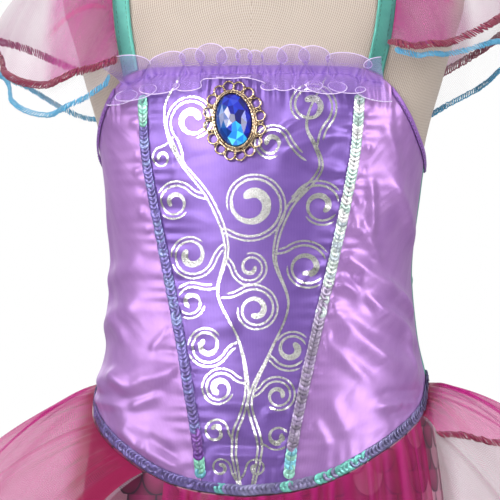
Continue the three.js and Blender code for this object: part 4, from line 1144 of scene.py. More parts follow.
def flounce_surface(spec, upper):
    """A layer of a flounce, at shares u along its seam and v from the seam to its free edge."""
    hem, side = spec["hem"], spec["side"]

    def smooth(u, v):
        along = np.clip(u, 0, 1)
        start = spec["seam"](along)
        end = np.stack([column(hem, "along", along, name) for name in "xyz"], -1)
        bend = start + (end - start) * spec["bow"]
        bend[..., 2] = start[..., 2] + (end[..., 2] - start[..., 2]) * spec["hold"]
        v = v[..., None]
        return start * (1 - v) ** 2 + bend * 2 * v * (1 - v) + end * v * v

    def surface(u, v):
        along = np.clip(u, 0, 1)
        reach = v * column(hem, "along", along, "upper") if upper else v
        out = -side * facing_of(smooth, np.clip(along, 0.002, 0.998), np.clip(reach, 0.02, 0.98))
        taper = np.sqrt(np.maximum(np.sin(np.pi * along), 0))
        wave = spec["depth"] * taper * np.sin(
            2 * np.pi * spec["waves"] * along + WAVE_DRIFT * np.sin(DRIFT_TURNS * along))
        lift = spec["stand"][0] + spec["stand"][1] * reach if upper else 0
        fan = spec["gather"] * uneven(along, 1 / spec["gathers"], 2.0 if upper else 4.0)
        fine = fan * smoothstep(v, 0.0, GATHER_FULL_AT) * (GATHER_LEFT + (1 - GATHER_LEFT) * (1 - v) ** 1.5)
        return smooth(along, reach) + out * (wave * reach + lift + fine)[..., None]

    return surface


HEM_COLUMNS = "along x y z upper"
FLOUNCE_CUTS = {               # width and length of the cloth for each, in metres, and the area cut out of it
    "sleeve_left_upper": (0.30, 0.062, 0.0136), "sleeve_left_under": (0.30, 0.070, 0.0153),
    "sleeve_right_upper": (0.32, 0.075, 0.0176), "sleeve_right_under": (0.32, 0.085, 0.0203),
    "peplum_left_upper": (0.62, 0.16, 0.0377), "peplum_left_under": (0.62, 0.19, 0.0544),
    "peplum_right_upper": (0.62, 0.16, 0.0549), "peplum_right_under": (0.62, 0.19, 0.0688),
}
SLEEVE_END = 148
SLEEVES = {
    "left": {"side": 1, "start": 25, "waves": 5, "depth": 4, "hold": 0.2, "bow": 0.9, "hem": table(
        HEM_COLUMNS, (0, 86, -54, 777, 0.6), (0.12, 98, -63, 774, 0.86), (0.25, 110, -63, 774, 0.93),
        (0.38, 124, -54, 776, 0.92), (0.5, 140, -34, 782, 0.88), (0.62, 153, -4, 784, 0.82),
        (0.75, 146, 30, 772, 0.78), (0.87, 120, 52, 756, 0.74), (1, 90, 66, 740, 0.7))},
    "right": {"side": -1, "start": 21, "waves": 5, "depth": 4.5, "hold": 0.2, "bow": 0.9, "hem": table(
        HEM_COLUMNS, (0, -84, -56, 762, 0.5), (0.1, -90, -64, 754, 0.7), (0.2, -101, -68, 747, 0.79),
        (0.3, -115, -68, 741, 0.86), (0.4, -129, -60, 741, 0.89), (0.5, -145, -42, 752, 0.9),
        (0.62, -161, -10, 767, 0.88), (0.75, -154, 28, 761, 0.8), (0.87, -116, 58, 741, 0.74),
        (1, -88, 66, 748, 0.7))},
}
PEPLUM_END = 179
PEPLUMS = {
    "left": {"side": 1, "start": 76, "waves": 6, "depth": 7, "hold": 0.08, "bow": 0.55, "hem": table(
        HEM_COLUMNS, (0, 128, -62, 470, 0.3), (0.1, 162, -58, 480, 0.5), (0.2, 190, -42, 488, 0.64),
        (0.32, 206, -16, 492, 0.76), (0.46, 208, 22, 482, 0.84), (0.6, 192, 66, 456, 0.86),
        (0.75, 152, 112, 430, 0.86), (0.88, 90, 142, 412, 0.86), (1, 3.5, 151, 403, 0.86))},
    "right": {"side": -1, "start": 42, "waves": 7, "depth": 7, "hold": 0.2, "bow": 0.55, "hem": table(
        HEM_COLUMNS, (0, -128, -104, 424, 0.82), (0.1, -168, -90, 428, 0.82), (0.2, -214, -50, 442, 0.84),
        (0.34, -226, -10, 448, 0.86), (0.5, -212, 46, 436, 0.86), (0.68, -164, 104, 420, 0.86),
        (0.84, -92, 140, 408, 0.86), (1, -3.5, 151, 403, 0.86))},
}

# %% [markdown]
# The free edges have a picot finish: an overlocker wraps the edge in slanted loops of thread, magenta on
# the upper layer and blue on the lower one. Each loop is a small ring of thread, set along the edge by the
# tree above.

# %% Picot edges


LOOP_STEPS, LOOP_SIDES, LOOP_SLANT = 10, 3, 0.85


def loop_shape(half_wide, half_high, open_by, thread):
    """A slanted loop of thread round an edge that runs along X."""
    turn = 2 * np.pi * np.arange(LOOP_STEPS) / LOOP_STEPS
    across = half_wide * np.cos(turn)
    path = np.stack([LOOP_SLANT * across + open_by * np.sin(turn), across, half_high * np.sin(turn)], -1)
    return cord(path, np.array([1.0, 0, 0]), thread, thread, sides=LOOP_SIDES, closed=True)


# thread, half width and height of a loop, how far it opens, and the thread's radius
PICOT_PITCH = 1.6
PICOTS = {"upper": ("magenta", 2.1, 1.1, 0.55, 0.46), "under": ("blue", 1.5, 0.9, 0.5, 0.4)}


def add_picot(name, edge, facing, layer, seed):
    """Loops of thread along a free edge, given as dense points and the way the cloth faces there."""
    thread, *sizes = PICOTS[layer]
    where, normal, along, _ = along_line(edge, facing, PICOT_PITCH)
    mesh = set_on_points(name, loop_shape(*sizes), threads[thread], where, normal, along,
                         tilt=0.14, spread=0.1, seed=seed)
    return add_piece(name, mesh, threads[thread])


def flounce(kind, name, spec, layer, surface, finish, grid, cover, depth_and_painted_shade, held_by):
    """One layer of a flounce with its picot edge."""
    across, high = grid
    u, v = np.meshgrid(np.linspace(0, 1, across + 1), np.linspace(0, 1, high + 1))
    points = surface(u, v)
    node = f"{kind}_{name}_{layer}"
    mesh = grid_mesh(f"{node}_organza", points, flip=spec["side"] < 0)
    paint_organza(mesh, cover(u, v, points), depth_and_painted_shade(u, v, points))
    piece = add_piece(f"{node}_organza", mesh, finish, [node])
    facing = unit(np.cross(np.gradient(points[-1], axis=0), points[-1] - points[-2]))
    picot = add_picot(f"{node}_picot", points[-1], facing, layer, len(node))
    width, length, area = FLOUNCE_CUTS[node]
    declare_sheet(piece, (width, length), "gathered", held_by, area=area, with_pieces=[picot])


# %% Shoulder flounces
SLEEVE_ASIDE = STRAP_WIDTH / 2 + 3.2 * SEAM_GAP
SLEEVE_GRID, SEAM_STEPS = (180, 28), 201
CREASE_START, CREASE_SLANT, CREASE_WIDE, CREASE_DEEP = 0.2, 0.22, 0.008, 0.35


def painted_sleeve_crease(u, v):
    """One sharp crease, only painted: denser cloth and painted shade, from the seam down and outwards."""
    aside = (u - CREASE_START - CREASE_SLANT * v) / CREASE_WIDE
    return CREASE_DEEP * np.exp(-aside ** 2) * smoothstep(v, 0.05, 0.25) * (1 - smoothstep(v, 0.6, 0.85))


def sleeve_cover(layer):
    """How dense a shoulder layer looks: over the form, near the seam, in folds and at the hem."""
    def cover(u, v, points):
        over_form = 1 - smoothstep(abs(points[..., 0]), 114, 124)
        near_seam = np.exp(-v / 0.12)
        folds = 0.1 * uneven(u, 1 / 9, 1.0) * (1 - 0.5 * v)
        hem = 0.12 * smoothstep(v, 0.8, 1.0)
        upper = 0.07 + 0.48 * over_form + 0.3 * near_seam + folds + hem + 0.6 * painted_sleeve_crease(u, v)
        return upper if layer == "upper" else 0.3 * over_form + 0.2 * near_seam
    return cover


def sleeve_depth_and_painted_shade(u, v, points):
    """Crimson along the crease and in the gathers close to the seam: painted shade, partly doubled cloth."""
    return painted_sleeve_crease(u, v) + 0.4 * np.exp(-v / 0.12)


def line_through(points):
    """The places along a line of points, at shares of its length."""
    shares = np.linspace(0, 1, len(points))
    return lambda along: np.stack([np.interp(along, shares, points[:, k]) for k in range(3)], -1)


# layer, how far its seam and its free part stay off the form, finish and slot
SLEEVE_LAYERS = (("upper", EASE + 1.8 * ORGANZA, 5.4, magenta_organza, "magenta_organza"),
                 ("under", EASE + ORGANZA / 2, 3, pale_organza, "pale_organza"))
for name, spec in SLEEVES.items():
    turn = spec["start"] + (SLEEVE_END - spec["start"]) * np.linspace(0, 1, SEAM_STEPS)
    seam_points = over_shoulder(SLEEVE_ASIDE, turn, EASE + ORGANZA / 2) * MIRROR[name]
    spec.update(stand=(1.35, 6), gather=0.7, gathers=34, seam=line_through(seam_points))
    for layer, at_seam, away, finish, slot in SLEEVE_LAYERS:
        raw = flounce_surface(spec, layer == "upper")

        def sleeve(u, v, raw=raw, at_seam=at_seam, away=away):
            margin = at_seam + (away - at_seam) * np.clip(4 * v, 0, 1)
            return clear_of(FORM, raw(u, v), margin)

        flounce("sleeve", name, spec, layer, sleeve, finish, SLEEVE_GRID, sleeve_cover(layer),
                sleeve_depth_and_painted_shade, [f"strap_{name}_satin"])

# %% [markdown]
# ## Skirt
# Stretch cloth printed with fish scales in deep pink with dark outlines, some of them dusted with pale
# glitter. A scale is 22 mm wide, measured on the photograph. The print is worked out from the cloth's own
# UV map: a point belongs to the scale whose round lower edge hangs over it, in rows that step half a scale
# sideways.

# %% Fish-scale print
SCALE_WIDE, SCALE_HIGH = 0.022, 0.026
OUTLINE_HALF = 0.028
PLAIN_SHARE, DUST_STRENGTH = 0.68, 0.75
scale_print, tree, shader = new_finish("stretch knit, fish-scale print", {"Sheen Weight": 0.2})
cloth_map = add_node(tree, "ShaderNodeUVMap", {"uv_map": "cloth"})
flat_place = add_node(tree, "ShaderNodeSeparateXYZ", links={0: cloth_map.outputs[0]})
glitter = add_node(tree, "ShaderNodeTexNoise", values={"Scale": 2600, "Detail": 2},
                   links={"Vector": cloth_map.outputs[0]})
chance = add_node(tree, "ShaderNodeTexWhiteNoise", {"noise_dimensions": "1D"})
found = {"across": flat_place.outputs[0], "up": flat_place.outputs[1], "glitter": glitter.outputs[0],
         "chance": chance.outputs["Value"]}
# each row is a result, a Math node's operation, and what goes in: numbers or the names of results
steps = [("x", "DIVIDE", "across", SCALE_WIDE), ("y", "DIVIDE", "up", SCALE_HIGH / 2), ("row", "FLOOR", "y"),
         ("rest", "SUBTRACT", "y", "row"), ("turn", "FLOORED_MODULO", "row", 2.0),
         ("odd", "MULTIPLY", "turn", 0.5),
         ("even", "SUBTRACT", 0.5, "odd")]
for scale, shift, above in (("near", "even", 1.0), ("far", "odd", 0.0)):
    steps += [
        (f"{scale} x", "ADD", "x", shift), (f"{scale} cell", "FLOOR", f"{scale} x"),
        (f"{scale} part", "SUBTRACT", f"{scale} x", f"{scale} cell"),
        (f"{scale} aside", "SUBTRACT", f"{scale} part", 0.5), (f"{scale} drop", "SUBTRACT", above, "rest"),
        (f"{scale} rise", "MULTIPLY", f"{scale} drop", 0.5),
        (f"{scale} aside 2", "MULTIPLY", f"{scale} aside", f"{scale} aside"),
        (f"{scale} rise 2", "MULTIPLY", f"{scale} rise", f"{scale} rise"),
        (f"{scale} reach 2", "ADD", f"{scale} aside 2", f"{scale} rise 2"),
        (f"{scale} reach", "SQRT", f"{scale} reach 2"), (f"{scale} row", "ADD", "row", above),
        (f"{scale} key", "MULTIPLY_ADD", f"{scale} row", 7.31, f"{scale} cell")]
steps += [
    ("is near", "LESS_THAN", "near reach", 0.5), ("is far", "SUBTRACT", 1.0, "is near"),
    ("near part key", "MULTIPLY", "near key", "is near"), ("far part key", "MULTIPLY", "far key", "is far"),
    ("key", "ADD", "near part key", "far part key"), ("past edge", "SUBTRACT", "near reach", 0.5),
    ("from edge", "ABSOLUTE", "past edge"), ("outline", "LESS_THAN", "from edge", OUTLINE_HALF),
    ("deep", "MULTIPLY", "from edge", 3.0), ("depth", "MINIMUM", "deep", 1.0),
    ("is dusted", "GREATER_THAN", "chance", PLAIN_SHARE), ("pale", "MULTIPLY", "is dusted", DUST_STRENGTH),
    ("grains", "MULTIPLY_ADD", "glitter", 1.6, -0.15), ("dust", "MULTIPLY", "pale", "grains"),
    ("roughness", "MULTIPLY_ADD", "dust", -0.25, 0.55)]
for result, operation, *given in steps:
    values = {socket: value for socket, value in enumerate(given) if not isinstance(value, str)}
    links = {socket: found[name] for socket, name in enumerate(given) if isinstance(name, str)}
    found[result] = add_node(tree, "ShaderNodeMath", {"operation": operation}, values, links).outputs[0]
tree.links.new(found["key"], chance.inputs["W"])
field = add_node(tree, "ShaderNodeMix", {"data_type": "RGBA"}, {6: colour("#64103f"), 7: colour("#8f1d5a")},
                 {0: found["depth"]})
dusted = add_node(tree, "ShaderNodeMix", {"data_type": "RGBA"}, {7: colour("#e3a9c0")},
                  {0: found["dust"], 6: field.outputs[2]})
outlined = add_node(tree, "ShaderNodeMix", {"data_type": "RGBA"}, {7: colour("#3a1033")},
                    {0: found["outline"], 6: dusted.outputs[2]})
feed(shader, {"Base Color": outlined.outputs[2], "Roughness": found["roughness"]})
print("print of", len(steps), "steps")

# %% Front and back of the skirt
SKIRT_COLUMNS, SKIRT_ROWS, SKIRT_WALL = 120, 100, 0.9
FINER_TO_WAIST = 1.4
WAVE_SWAY = 25                                 # degrees by which the waves' spacing varies
SOFT_WAVE, SOFT_PITCH = 0.8, 13


def skirt_point(angle, v):
    """A point of the skirt, so many degrees round and a share v of the way up, finer towards the waist."""
    top = bottom_edge(angle) - SKIRT_DROP
    z = HEM_Z + (top - HEM_Z) * (1 - np.maximum(0, 1 - v) ** FINER_TO_WAIST)
    turn = SKIRT_WAVES * angle + WAVE_SWAY * np.sin(np.radians(2 * angle))
    wave = column(SKIRT, "z", z, "wave") * np.cos(np.radians(turn))
    soft = SOFT_WAVE * uneven(angle, SOFT_PITCH, 1.0) * smoothstep(top - z, 10, 160)
    return body_point(SKIRT, angle, z, CLOTH / 2 + wave + soft)


for name, centre in (("front", 0), ("back", 180)):
    u, v = np.meshgrid(np.linspace(centre - 90 + HALF_GAP, centre + 90 - HALF_GAP, SKIRT_COLUMNS + 1),
                       np.linspace(0, 1, SKIRT_ROWS + 1))
    mesh = grid_mesh(f"skirt_{name}_print", skirt_point(u, v))
    piece = add_piece(f"skirt_{name}_print", mesh, scale_print, [f"skirt_{name}"])
    declare_sheet(thicken(piece, SKIRT_WALL), (0.46, 0.50), "hung", ["torso_jersey"], area=0.185)

# %% [markdown]
# ## Peplum and overlay
# Two gathered layers hang from each side of the pointed waist, and stand away over the hips. The photograph
# shows one front edge folded over as a dense band. Between the two sides a gathered overlay lies on the
# skirt.


# %% Hip flounces
PEPLUM_GRID = (240, 40)
PEPLUM_LAYERS = (("upper", hip_organza, "magenta_organza"), ("under", pale_organza, "pale_organza"))
OVER_SKIRT, BAND = (98, 112), (0.035, 0.05)


def folded_band(u, side):
    """The picture-left front edge, folded over as a dense band."""
    return (1 - smoothstep(u, *BAND)) * (side < 0)


def peplum_cover(layer, side):
    """How dense a hip layer looks: over the skirt, near the seam, in its folds and in the folded edge."""
    def cover(u, v, points):
        over_skirt = 1 - smoothstep(abs(points[..., 0]), *OVER_SKIRT)
        near_seam = np.exp(-v / 0.13)
        folds = 0.3 * np.maximum(uneven(u, 1 / 16, 1.0 if layer == "upper" else 3.0), 0) ** 2
        return 0.1 + 0.45 * over_skirt + 0.5 * near_seam + folds + 0.8 * folded_band(u, side)
    return cover


def peplum_depth_and_painted_shade(side):
    """Its colour's depth: doubled cloth at the folded edge, painted shade over the skirt, in gathers and
    folds.
    """
    def depth_and_painted_shade(u, v, points):
        over_skirt = 1 - smoothstep(abs(points[..., 0]), *OVER_SKIRT)
        gathers = np.maximum(uneven(u, 1 / 38, 4.0), 0) ** 2
        return (folded_band(u, side) + 0.8 * over_skirt + (0.3 + 0.9 * gathers) * np.exp(-v / 0.3)
                + 0.25 * np.maximum(uneven(u, 1 / 16, 1.0), 0))
    return depth_and_painted_shade


for name, spec in PEPLUMS.items():
    def hip_seam(along, spec=spec):
        angle = spec["side"] * (spec["start"] + (PEPLUM_END - spec["start"]) * along)
        return body_point(FORM, angle, bottom_edge(angle) - PEPLUM_DROP, ON_PANEL + SEAM_GAP)

    spec.update(stand=(1.4, 8), gather=1.5, gathers=38, seam=hip_seam)
    for layer, finish, slot in PEPLUM_LAYERS:
        surface = flounce_surface(spec, layer == "upper")
        flounce("peplum", name, spec, layer, surface, finish, PEPLUM_GRID,
                peplum_cover(layer, spec["side"]), peplum_depth_and_painted_shade(spec["side"]),
                ["torso_jersey", "skirt_front_print"])

# %% Overlay on the front of the skirt
OVERLAY = {"start": -33, "end": 73, "waves": 6, "hem_z": 412, "fall": 26, "stand": 5, "depth": 3,
           "gather": 1.1, "gathers": 26}
OVERLAY_COLUMNS, OVERLAY_ROWS = 200, 50


def overlay_points(u, v):
    """The overlay at shares u round the front and v from the waist to its free edge."""
    angle = OVERLAY["start"] + (OVERLAY["end"] - OVERLAY["start"]) * u
    hem = OVERLAY["hem_z"] + OVERLAY["fall"] * (u - 0.4) ** 2
    wave = OVERLAY["depth"] * (1 + np.sin(2 * np.pi * OVERLAY["waves"] * u + 1.3 * np.sin(5 * u)))
    gathers = OVERLAY["gather"] * uneven(u, 1 / OVERLAY["gathers"], 2.0)
    fine = gathers * smoothstep(v, 0, 0.1) * (1 - 0.6 * v)
    stand = CLOTH / 2 + SEAM_GAP + ORGANZA / 2 + (OVERLAY["stand"] + wave) * v**0.7 + np.maximum(fine, -0.6)
    top = bottom_edge(angle) - 2 * SKIRT_DROP
    return body_point(SKIRT, angle, top + (hem - top) * v, stand)


u, v = np.meshgrid(np.linspace(0, 1, OVERLAY_COLUMNS + 1), np.linspace(0, 1, OVERLAY_ROWS + 1))
points = overlay_points(u, v)
mesh = grid_mesh("overlay_organza", points, flip=True)
# the second number deepens the colour in the gathers as painted shade
paint_organza(mesh, 0.18 + 0.45 * np.exp(-v / 0.16) + 0.35 * uneven(u, 1 / 13, 1.0),
              0.75 + 0.25 * uneven(u, 1 / OVERLAY["gathers"], 2.0))
overlay = add_piece("overlay_organza", mesh, hip_organza, ["overlay_front"])
facing = unit(np.cross(points[-1] - points[-2], np.gradient(points[-1], axis=0)))
picot = add_picot("overlay_picot", points[-1], facing, "upper", 9)
declare_sheet(overlay, (0.30, 0.14), "gathered", ["skirt_front_print"], area=0.025, with_pieces=[picot])

# %% [markdown]
# ## Neck ruffle
# A strip of lavender organza is gathered through its middle onto the neck edge, so both its edges stand
# free in loops that lean over each other. Its rolled edges are whipped with pale thread, the most visible
# thing about it.

# %% Ruffle with whipped edges
RUFFLE = {"span": 60, "z": 763, "above": 10.5, "below": 9.5, "waves": 12, "depth": 6, "flare": 2.2,
          "droop": 5, "droop_from": 45, "lifted": 6, "lift_angle": -9, "lift_span": 15, "gather": 0.8,
          "gathers": 60, "lean": 4.4, "swing": 0.36}
RUFFLE_COLUMNS, RUFFLE_ROWS, EDGE_THREAD = 800, 20, 0.28


def ruffle_loop(u, away):
    """How far round its loops the ruffle has come, unevenly, and not the same above and below the gathers."""
    return (2 * np.pi * RUFFLE["waves"] * u + 2.2 * (away > 0) + 1.7 * np.sin(9 * u + 2 * (away > 0))
            + 0.9 * np.sin(23 * u + away))


def ruffle_points(u, v):
    """The ruffle at shares u round the neck and v from its lower to its upper edge."""
    angle = -RUFFLE["span"] + 2 * RUFFLE["span"] * u
    away = 2 * v - 1
    free = abs(away)
    droop = RUFFLE["droop"] * smoothstep(abs(angle), RUFFLE["droop_from"], RUFFLE["span"])
    loop = ruffle_loop(u, away)
    size = 0.9 + 0.4 * np.sin(17 * u + 2.2 * (away > 0)) + 0.15 * np.sin(41 * u)
    fan = RUFFLE["gather"] * uneven(u, 1 / RUFFLE["gathers"], 1.0)
    gathers = fan * np.exp(-free / 0.35) * smoothstep(free, 0, 0.1)
    wave = (1 + np.cos(loop)) / 2 * RUFFLE["depth"] * size
    lift = ON_PANEL + ORGANZA / 2 + (RUFFLE["flare"] + wave) * free + np.maximum(gathers, -0.4)
    below_brooch = 1 - smoothstep(abs(angle - RUFFLE["lift_angle"]) / RUFFLE["lift_span"], 0.8, 1.2)
    below = RUFFLE["below"] - RUFFLE["lifted"] * below_brooch
    swing = 1 + RUFFLE["swing"] * size * free * np.cos(loop)
    reach = away * np.where(away > 0, RUFFLE["above"], below) * swing
    lean = RUFFLE["lean"] * size * free * np.sin(loop)
    return body_point(FORM, angle + lean, RUFFLE["z"] - droop + reach, lift)


u, v = np.meshgrid(np.linspace(0, 1, RUFFLE_COLUMNS + 1), np.linspace(0, 1, RUFFLE_ROWS + 1))
points = ruffle_points(u, v)
mesh = grid_mesh("neck_ruffle_organza", points)
away = abs(2 * v - 1)
gathered = np.exp(-away / 0.3)
# the backs of the loops and the gathers: denser cover, and deeper colour as painted shade
behind = (1 - np.cos(ruffle_loop(u, 2 * v - 1))) / 2 * away
paint_organza(mesh, 0.14 + 0.86 * gathered + 0.3 * behind,
              gathered * (0.6 + 0.6 * uneven(u, 1 / RUFFLE["gathers"], 1.0)) + 0.5 * behind)
ruffle = add_piece("neck_ruffle_organza", mesh, lavender_organza, ["neck_ruffle"])
edges = []
for row in (0, -1):
    edge = points[row, ::2]
    facing = unit(np.cross(np.gradient(edge, axis=0), Z_AXIS))
    edges.append(cord(edge, facing, EDGE_THREAD, EDGE_THREAD, 5))
whipping_mesh = joined_mesh("neck_ruffle_edge_thread", edges)
whipping = add_piece("neck_ruffle_edge_thread", whipping_mesh, threads["pale"])
declare_sheet(ruffle, (0.20, 0.028), "gathered", ["centre_front_satin"], with_pieces=[whipping])

# %% [markdown]
# ## Brooch
# A cast setting, plated in pale antique gold, has sixteen open wire loops round a beaded oval. It holds a
# moulded glass stone of deep blue with a foiled back. Each facet gets its own blue, from ink to bright cyan,
# by where it sits: bright cyan low in the middle and teal-blue on the left are painted reflection, a pale
# facet at the upper left is a painted highlight, and a faint painted glow lifts them all.

# %% Where the brooch sits
BROOCH = {"angle": -7, "z": 735, "lean": 11, "seat": 0.5, "loops": 16, "half": 15.2, "high": 20.8,
          "loop": 3.1, "stone_half": 10.3, "stone_high": 15.5, "stone_height": 7, "stone_seat": 1.7}
at = np.array(BROOCH["angle"], float), np.array(BROOCH["z"], float)
seat = satin_point(*at, ON_PANEL + BROOCH["seat"])
outward = unit(satin_point(*at, 10.0) - satin_point(*at, 0.0))
upright = unit(Z_AXIS - outward * outward[2])
lean = math.radians(BROOCH["lean"])
aslant = upright * math.cos(lean) + np.cross(outward, upright) * math.sin(lean)
BROOCH_AXES = np.stack([np.cross(aslant, outward), aslant, outward])


def on_brooch(points):
    """Points of the brooch's own plane brought to their place on the dress."""
    return seat + np.asarray(points, float) @ BROOCH_AXES


def oval(half, high, turns):
    return np.stack([half * np.cos(2 * np.pi * turns), high * np.sin(2 * np.pi * turns), 0 * turns], -1)


# %% Setting of wire loops
gold, tree, shader = new_finish("zinc casting, pale antique gold plate", {"Metallic": 1.0, "Roughness": 0.26})
place = add_node(tree, "ShaderNodeTexCoord")
tarnish = add_node(tree, "ShaderNodeTexNoise", values={"Scale": 700, "Detail": 3},
                   links={"Vector": place.outputs["Object"]})
worn = add_node(tree, "ShaderNodeValToRGB", links={0: tarnish.outputs[0]},
                ramp=((0.35, "#6e543c"), (0.62, "#dcc8aa")))
feed(shader, {"Base Color": worn.outputs[0]})

circle = np.arange(24) / 24
wires = []
for turn in np.arange(BROOCH["loops"]) / BROOCH["loops"]:
    middle = oval(BROOCH["half"], BROOCH["high"], np.array(turn))
    path = middle + oval(BROOCH["loop"], BROOCH["loop"], circle) + [0, 0, 0.8]
    wires.append(cord(path, Z_AXIS, 0.62, 0.62, 8, closed=True))
ring = np.arange(96) / 96
for grow, height, wire in ((-2.5, 0.9, 0.7), (-3.4, 1.9, 0.75)):
    path = oval(BROOCH["half"] + grow, BROOCH["high"] + grow, ring) + [0, 0, height]
    wires.append(cord(path, Z_AXIS, wire, wire, 8, closed=True))
setting_mesh = joined_mesh("brooch_setting_gold", [(on_brooch(points), faces) for points, faces in wires])
add_piece("brooch_setting_gold", setting_mesh, gold, ["brooch_setting"])


# %% Beads of the setting and bezel
BEAD_RINGS, BEAD_SIDES = 4, 6


def bead_shape(radius):
    """A small ball."""
    heights = np.pi * (np.arange(BEAD_RINGS) + 0.5) / BEAD_RINGS
    turns = 2 * np.pi * np.arange(BEAD_SIDES) / BEAD_SIDES
    points = [(radius * math.sin(h) * math.cos(a), radius * math.sin(h) * math.sin(a), radius * math.cos(h))
              for h in heights for a in turns]
    return points, ring_faces(BEAD_RINGS, BEAD_SIDES, False)


between = (np.arange(BROOCH["loops"]) + 0.5) / BROOCH["loops"]
joints = [oval(BROOCH["half"] + grow, BROOCH["high"] + grow, between) + [0, 0, 1.0] for grow in (1.4, -1.0)]
rim = np.arange(52) / 52
rim_beads = oval(BROOCH["stone_half"] + 1.1, BROOCH["stone_high"] + 1.1, rim) + [0, 0, 3.9]
for name, places, radius in (("brooch_joint_beads", np.concatenate(joints), 0.95),
                             ("brooch_bezel_beads", rim_beads, 0.62)):
    facing = np.tile(BROOCH_AXES[2], (len(places), 1))
    along = np.tile(BROOCH_AXES[0], (len(places), 1))
    mesh = set_on_points(name, bead_shape(radius), gold, on_brooch(places), facing, along,
                         spread=0.08, seed=4)
    add_piece(name, mesh, gold)
profile = [(0.35, 1.75), (0.35, 3.5), (0.7, 3.9), (1.5, 3.9), (1.9, 3.4), (1.9, 1.75)]
whole_ring = np.append(ring, 1.0)
rows = np.stack([on_brooch(oval(BROOCH["stone_half"] + grow, BROOCH["stone_high"] + grow, whole_ring)
                           + [0, 0, height]) for grow, height in [*profile, profile[0]]])
bezel_mesh = grid_mesh("brooch_bezel_gold", rows, joined=True, flip=True)
add_piece("brooch_bezel_gold", bezel_mesh, gold, ["brooch_bezel"])

# %% Faceted stone
# the faint emission, in each facet's stored colour, is a painted glow
glass, tree, shader = new_finish("moulded glass, foiled, blue", {
    "Roughness": 0.06, "Coat Weight": 0.3, "Coat Roughness": 0.03, "Specular IOR Level": 0.6,
    "Emission Strength": 0.02})
colour_and_painted_light = add_node(tree, "ShaderNodeAttribute", {"attribute_name": "colour_and_painted_light"})
feed(shader, {"Base Color": colour_and_painted_light.outputs["Color"], "Emission Color": colour_and_painted_light.outputs["Color"]})

STONE_RINGS = ((1.0, 0.0, 0.0, 20), (1.0, 0.3, 0.0, 20), (0.8, 0.66, 0.5, 10), (0.52, 0.9, 0.0, 10),
               (0.2, 1.0, 0.5, 5))
edit = bmesh.new()
for size, height, shift, count in STONE_RINGS:
    turns = (np.arange(count) + shift) / count
    for point in on_brooch(oval(BROOCH["stone_half"] * size, BROOCH["stone_high"] * size, turns)
                           + [0, 0, BROOCH["stone_seat"] + BROOCH["stone_height"] * height]):
        edit.verts.new(point * MM)
hull = bmesh.ops.convex_hull(edit, input=edit.verts)
bmesh.ops.delete(edit, geom=[item for item in hull["geom_interior"] if isinstance(item, bmesh.types.BMVert)],
                 context="VERTS")
bmesh.ops.dissolve_limit(edit, angle_limit=math.radians(4), verts=edit.verts, edges=edit.edges)
bmesh.ops.recalc_face_normals(edit, faces=edit.faces)
gem_mesh = bpy.data.meshes.new("brooch_gem_glass")
edit.to_mesh(gem_mesh)
edit.free()
rng = np.random.default_rng(11)
facet_colours_and_painted_light = gem_mesh.attributes.new("colour_and_painted_light", "FLOAT_COLOR", "FACE")
for facet in gem_mesh.polygons:
    x, y = BROOCH_AXES[:2] @ (np.array(facet.center) / MM - seat)
    x, y = x / BROOCH["stone_half"], y / BROOCH["stone_high"]
    # by place: cyan low in the middle and teal-blue on the left are painted reflection, the pale facet at the
    # upper left a painted highlight, the rest the glass's deep blue
    if y < -0.25 and abs(x - 0.1) < 0.36:
        facet_blues_and_painted_light = ("#38b8ff", "#5fe4ff", "#2a8cf5")
    elif x < -0.35:
        facet_blues_and_painted_light = ("#0b3f92", "#0f559e", "#083280")
    elif 0.1 < y < 0.6 and -0.4 < x < -0.02:
        facet_blues_and_painted_light = ("#b7b4e4",)
    else:
        facet_blues_and_painted_light = ("#0e1788", "#1424ae", "#0a0f62", "#1532b4")
    code = facet_blues_and_painted_light[rng.integers(len(facet_blues_and_painted_light))] if len(facet_blues_and_painted_light) > 1 else facet_blues_and_painted_light[0]
    facet_colours_and_painted_light.data[facet.index].color = colour(code)
add_piece("brooch_gem_glass", gem_mesh, glass, ["brooch_gem"])
print("stone facets", len(gem_mesh.polygons))

# %% [markdown]
# ## Stitching
# Small straight stitches hold the straps' folded edges, the bindings, the braid and the gathers. They are 2
# mm long with 1 mm between them, and are set along their rows by the same tree.


# %% Rows of stitches
def stitch_shape(half_long, thick):
    """A short thread, thin at both ends."""
    path = np.stack([np.linspace(-half_long, half_long, 5), np.zeros(5), [-thick, 0, 0.1, 0, -thick]], -1)
    return cord(path, Z_AXIS, np.array([0.5, 1, 1, 1, 0.5]) * thick, thick, sides=5)


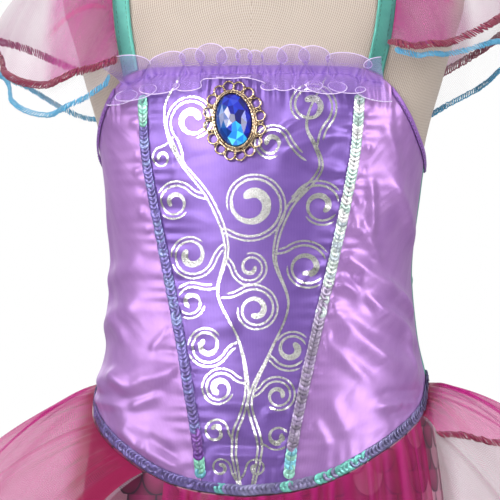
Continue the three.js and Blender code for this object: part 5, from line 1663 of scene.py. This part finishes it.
def stitch_row(name, points, facing, thread, pitch=3.0, half_long=1.0, thick=0.2):
    """A row of stitches along a line of points."""
    where, normal, along, _ = along_line(points, facing, pitch)
    mesh = set_on_points(name, stitch_shape(half_long, thick), threads[thread], where, normal, along,
                         tilt=0.08, spread=0.1, seed=6)
    add_piece(name, mesh, threads[thread])


run = np.linspace(0.01, 0.99, 160)
for name, mirror in MIRROR.items():
    for edge, share in (("outer", 0.78), ("inner", 0.2)):
        line = strap_points(np.full(160, share), run, EASE + STRAP_LIFT + STRAP_CROWN)
        lifted = strap_points(np.full(160, share), run, EASE + 4)
        stitch_row(f"strap_{name}_{edge}_stitches", line * mirror, (lifted - line) * mirror,
                   "teal")
ON_BRAID, STRIP_TOP = BRAID_OUT + 0.5, ON_PANEL + STRIP_LIFT + STRIP_CROWN
for name, side in (("left", 1), ("right", -1)):
    z = np.linspace(BRAID_BOTTOM, BRAID_TOP, 160)
    points, facing = on_bodice(side * angle_at(princess_x(z), z), z, ON_BRAID)
    stitch_row(f"sequin_{name}_stitches", points, facing, "dark", 2.7, 0.9, 0.16)
    angle = side * np.linspace(BINDING_START + 1, BACK_CORNER - 1, 120)
    points, facing = on_bodice(angle, top_edge(angle) - BINDING_WIDTH + 0.9, STRIP_TOP - 0.05)
    stitch_row(f"armhole_{name}_stitches", points, facing, "dark")
angle = np.linspace(-180, 180, 500)
points, facing = on_bodice(angle, bottom_edge(angle) + TRIM_WIDTH / 2, ON_BRAID)
stitch_row("sequin_waist_stitches", points, facing, "dark", 2.7, 0.9, 0.16)
angle = np.linspace(-59, 59, 240)
droop = RUFFLE["droop"] * smoothstep(abs(angle), RUFFLE["droop_from"], RUFFLE["span"])
line = body_point(FORM, angle, RUFFLE["z"] - droop, ON_PANEL + ORGANZA / 2 + 0.45)
lifted = body_point(FORM, angle, RUFFLE["z"] - droop, ON_PANEL + ORGANZA / 2 + 3)
stitch_row("neck_gather_stitches", line, lifted - line, "violet", 3.2, 1.1, 0.24)
z = np.linspace(580, 738, 120)
for name, degrees in (("left", 174.5), ("right", 185.5)):
    points, facing = on_bodice(np.full(120, degrees), z, STRIP_TOP)
    stitch_row(f"placket_{name}_stitches", points, facing, "teal")
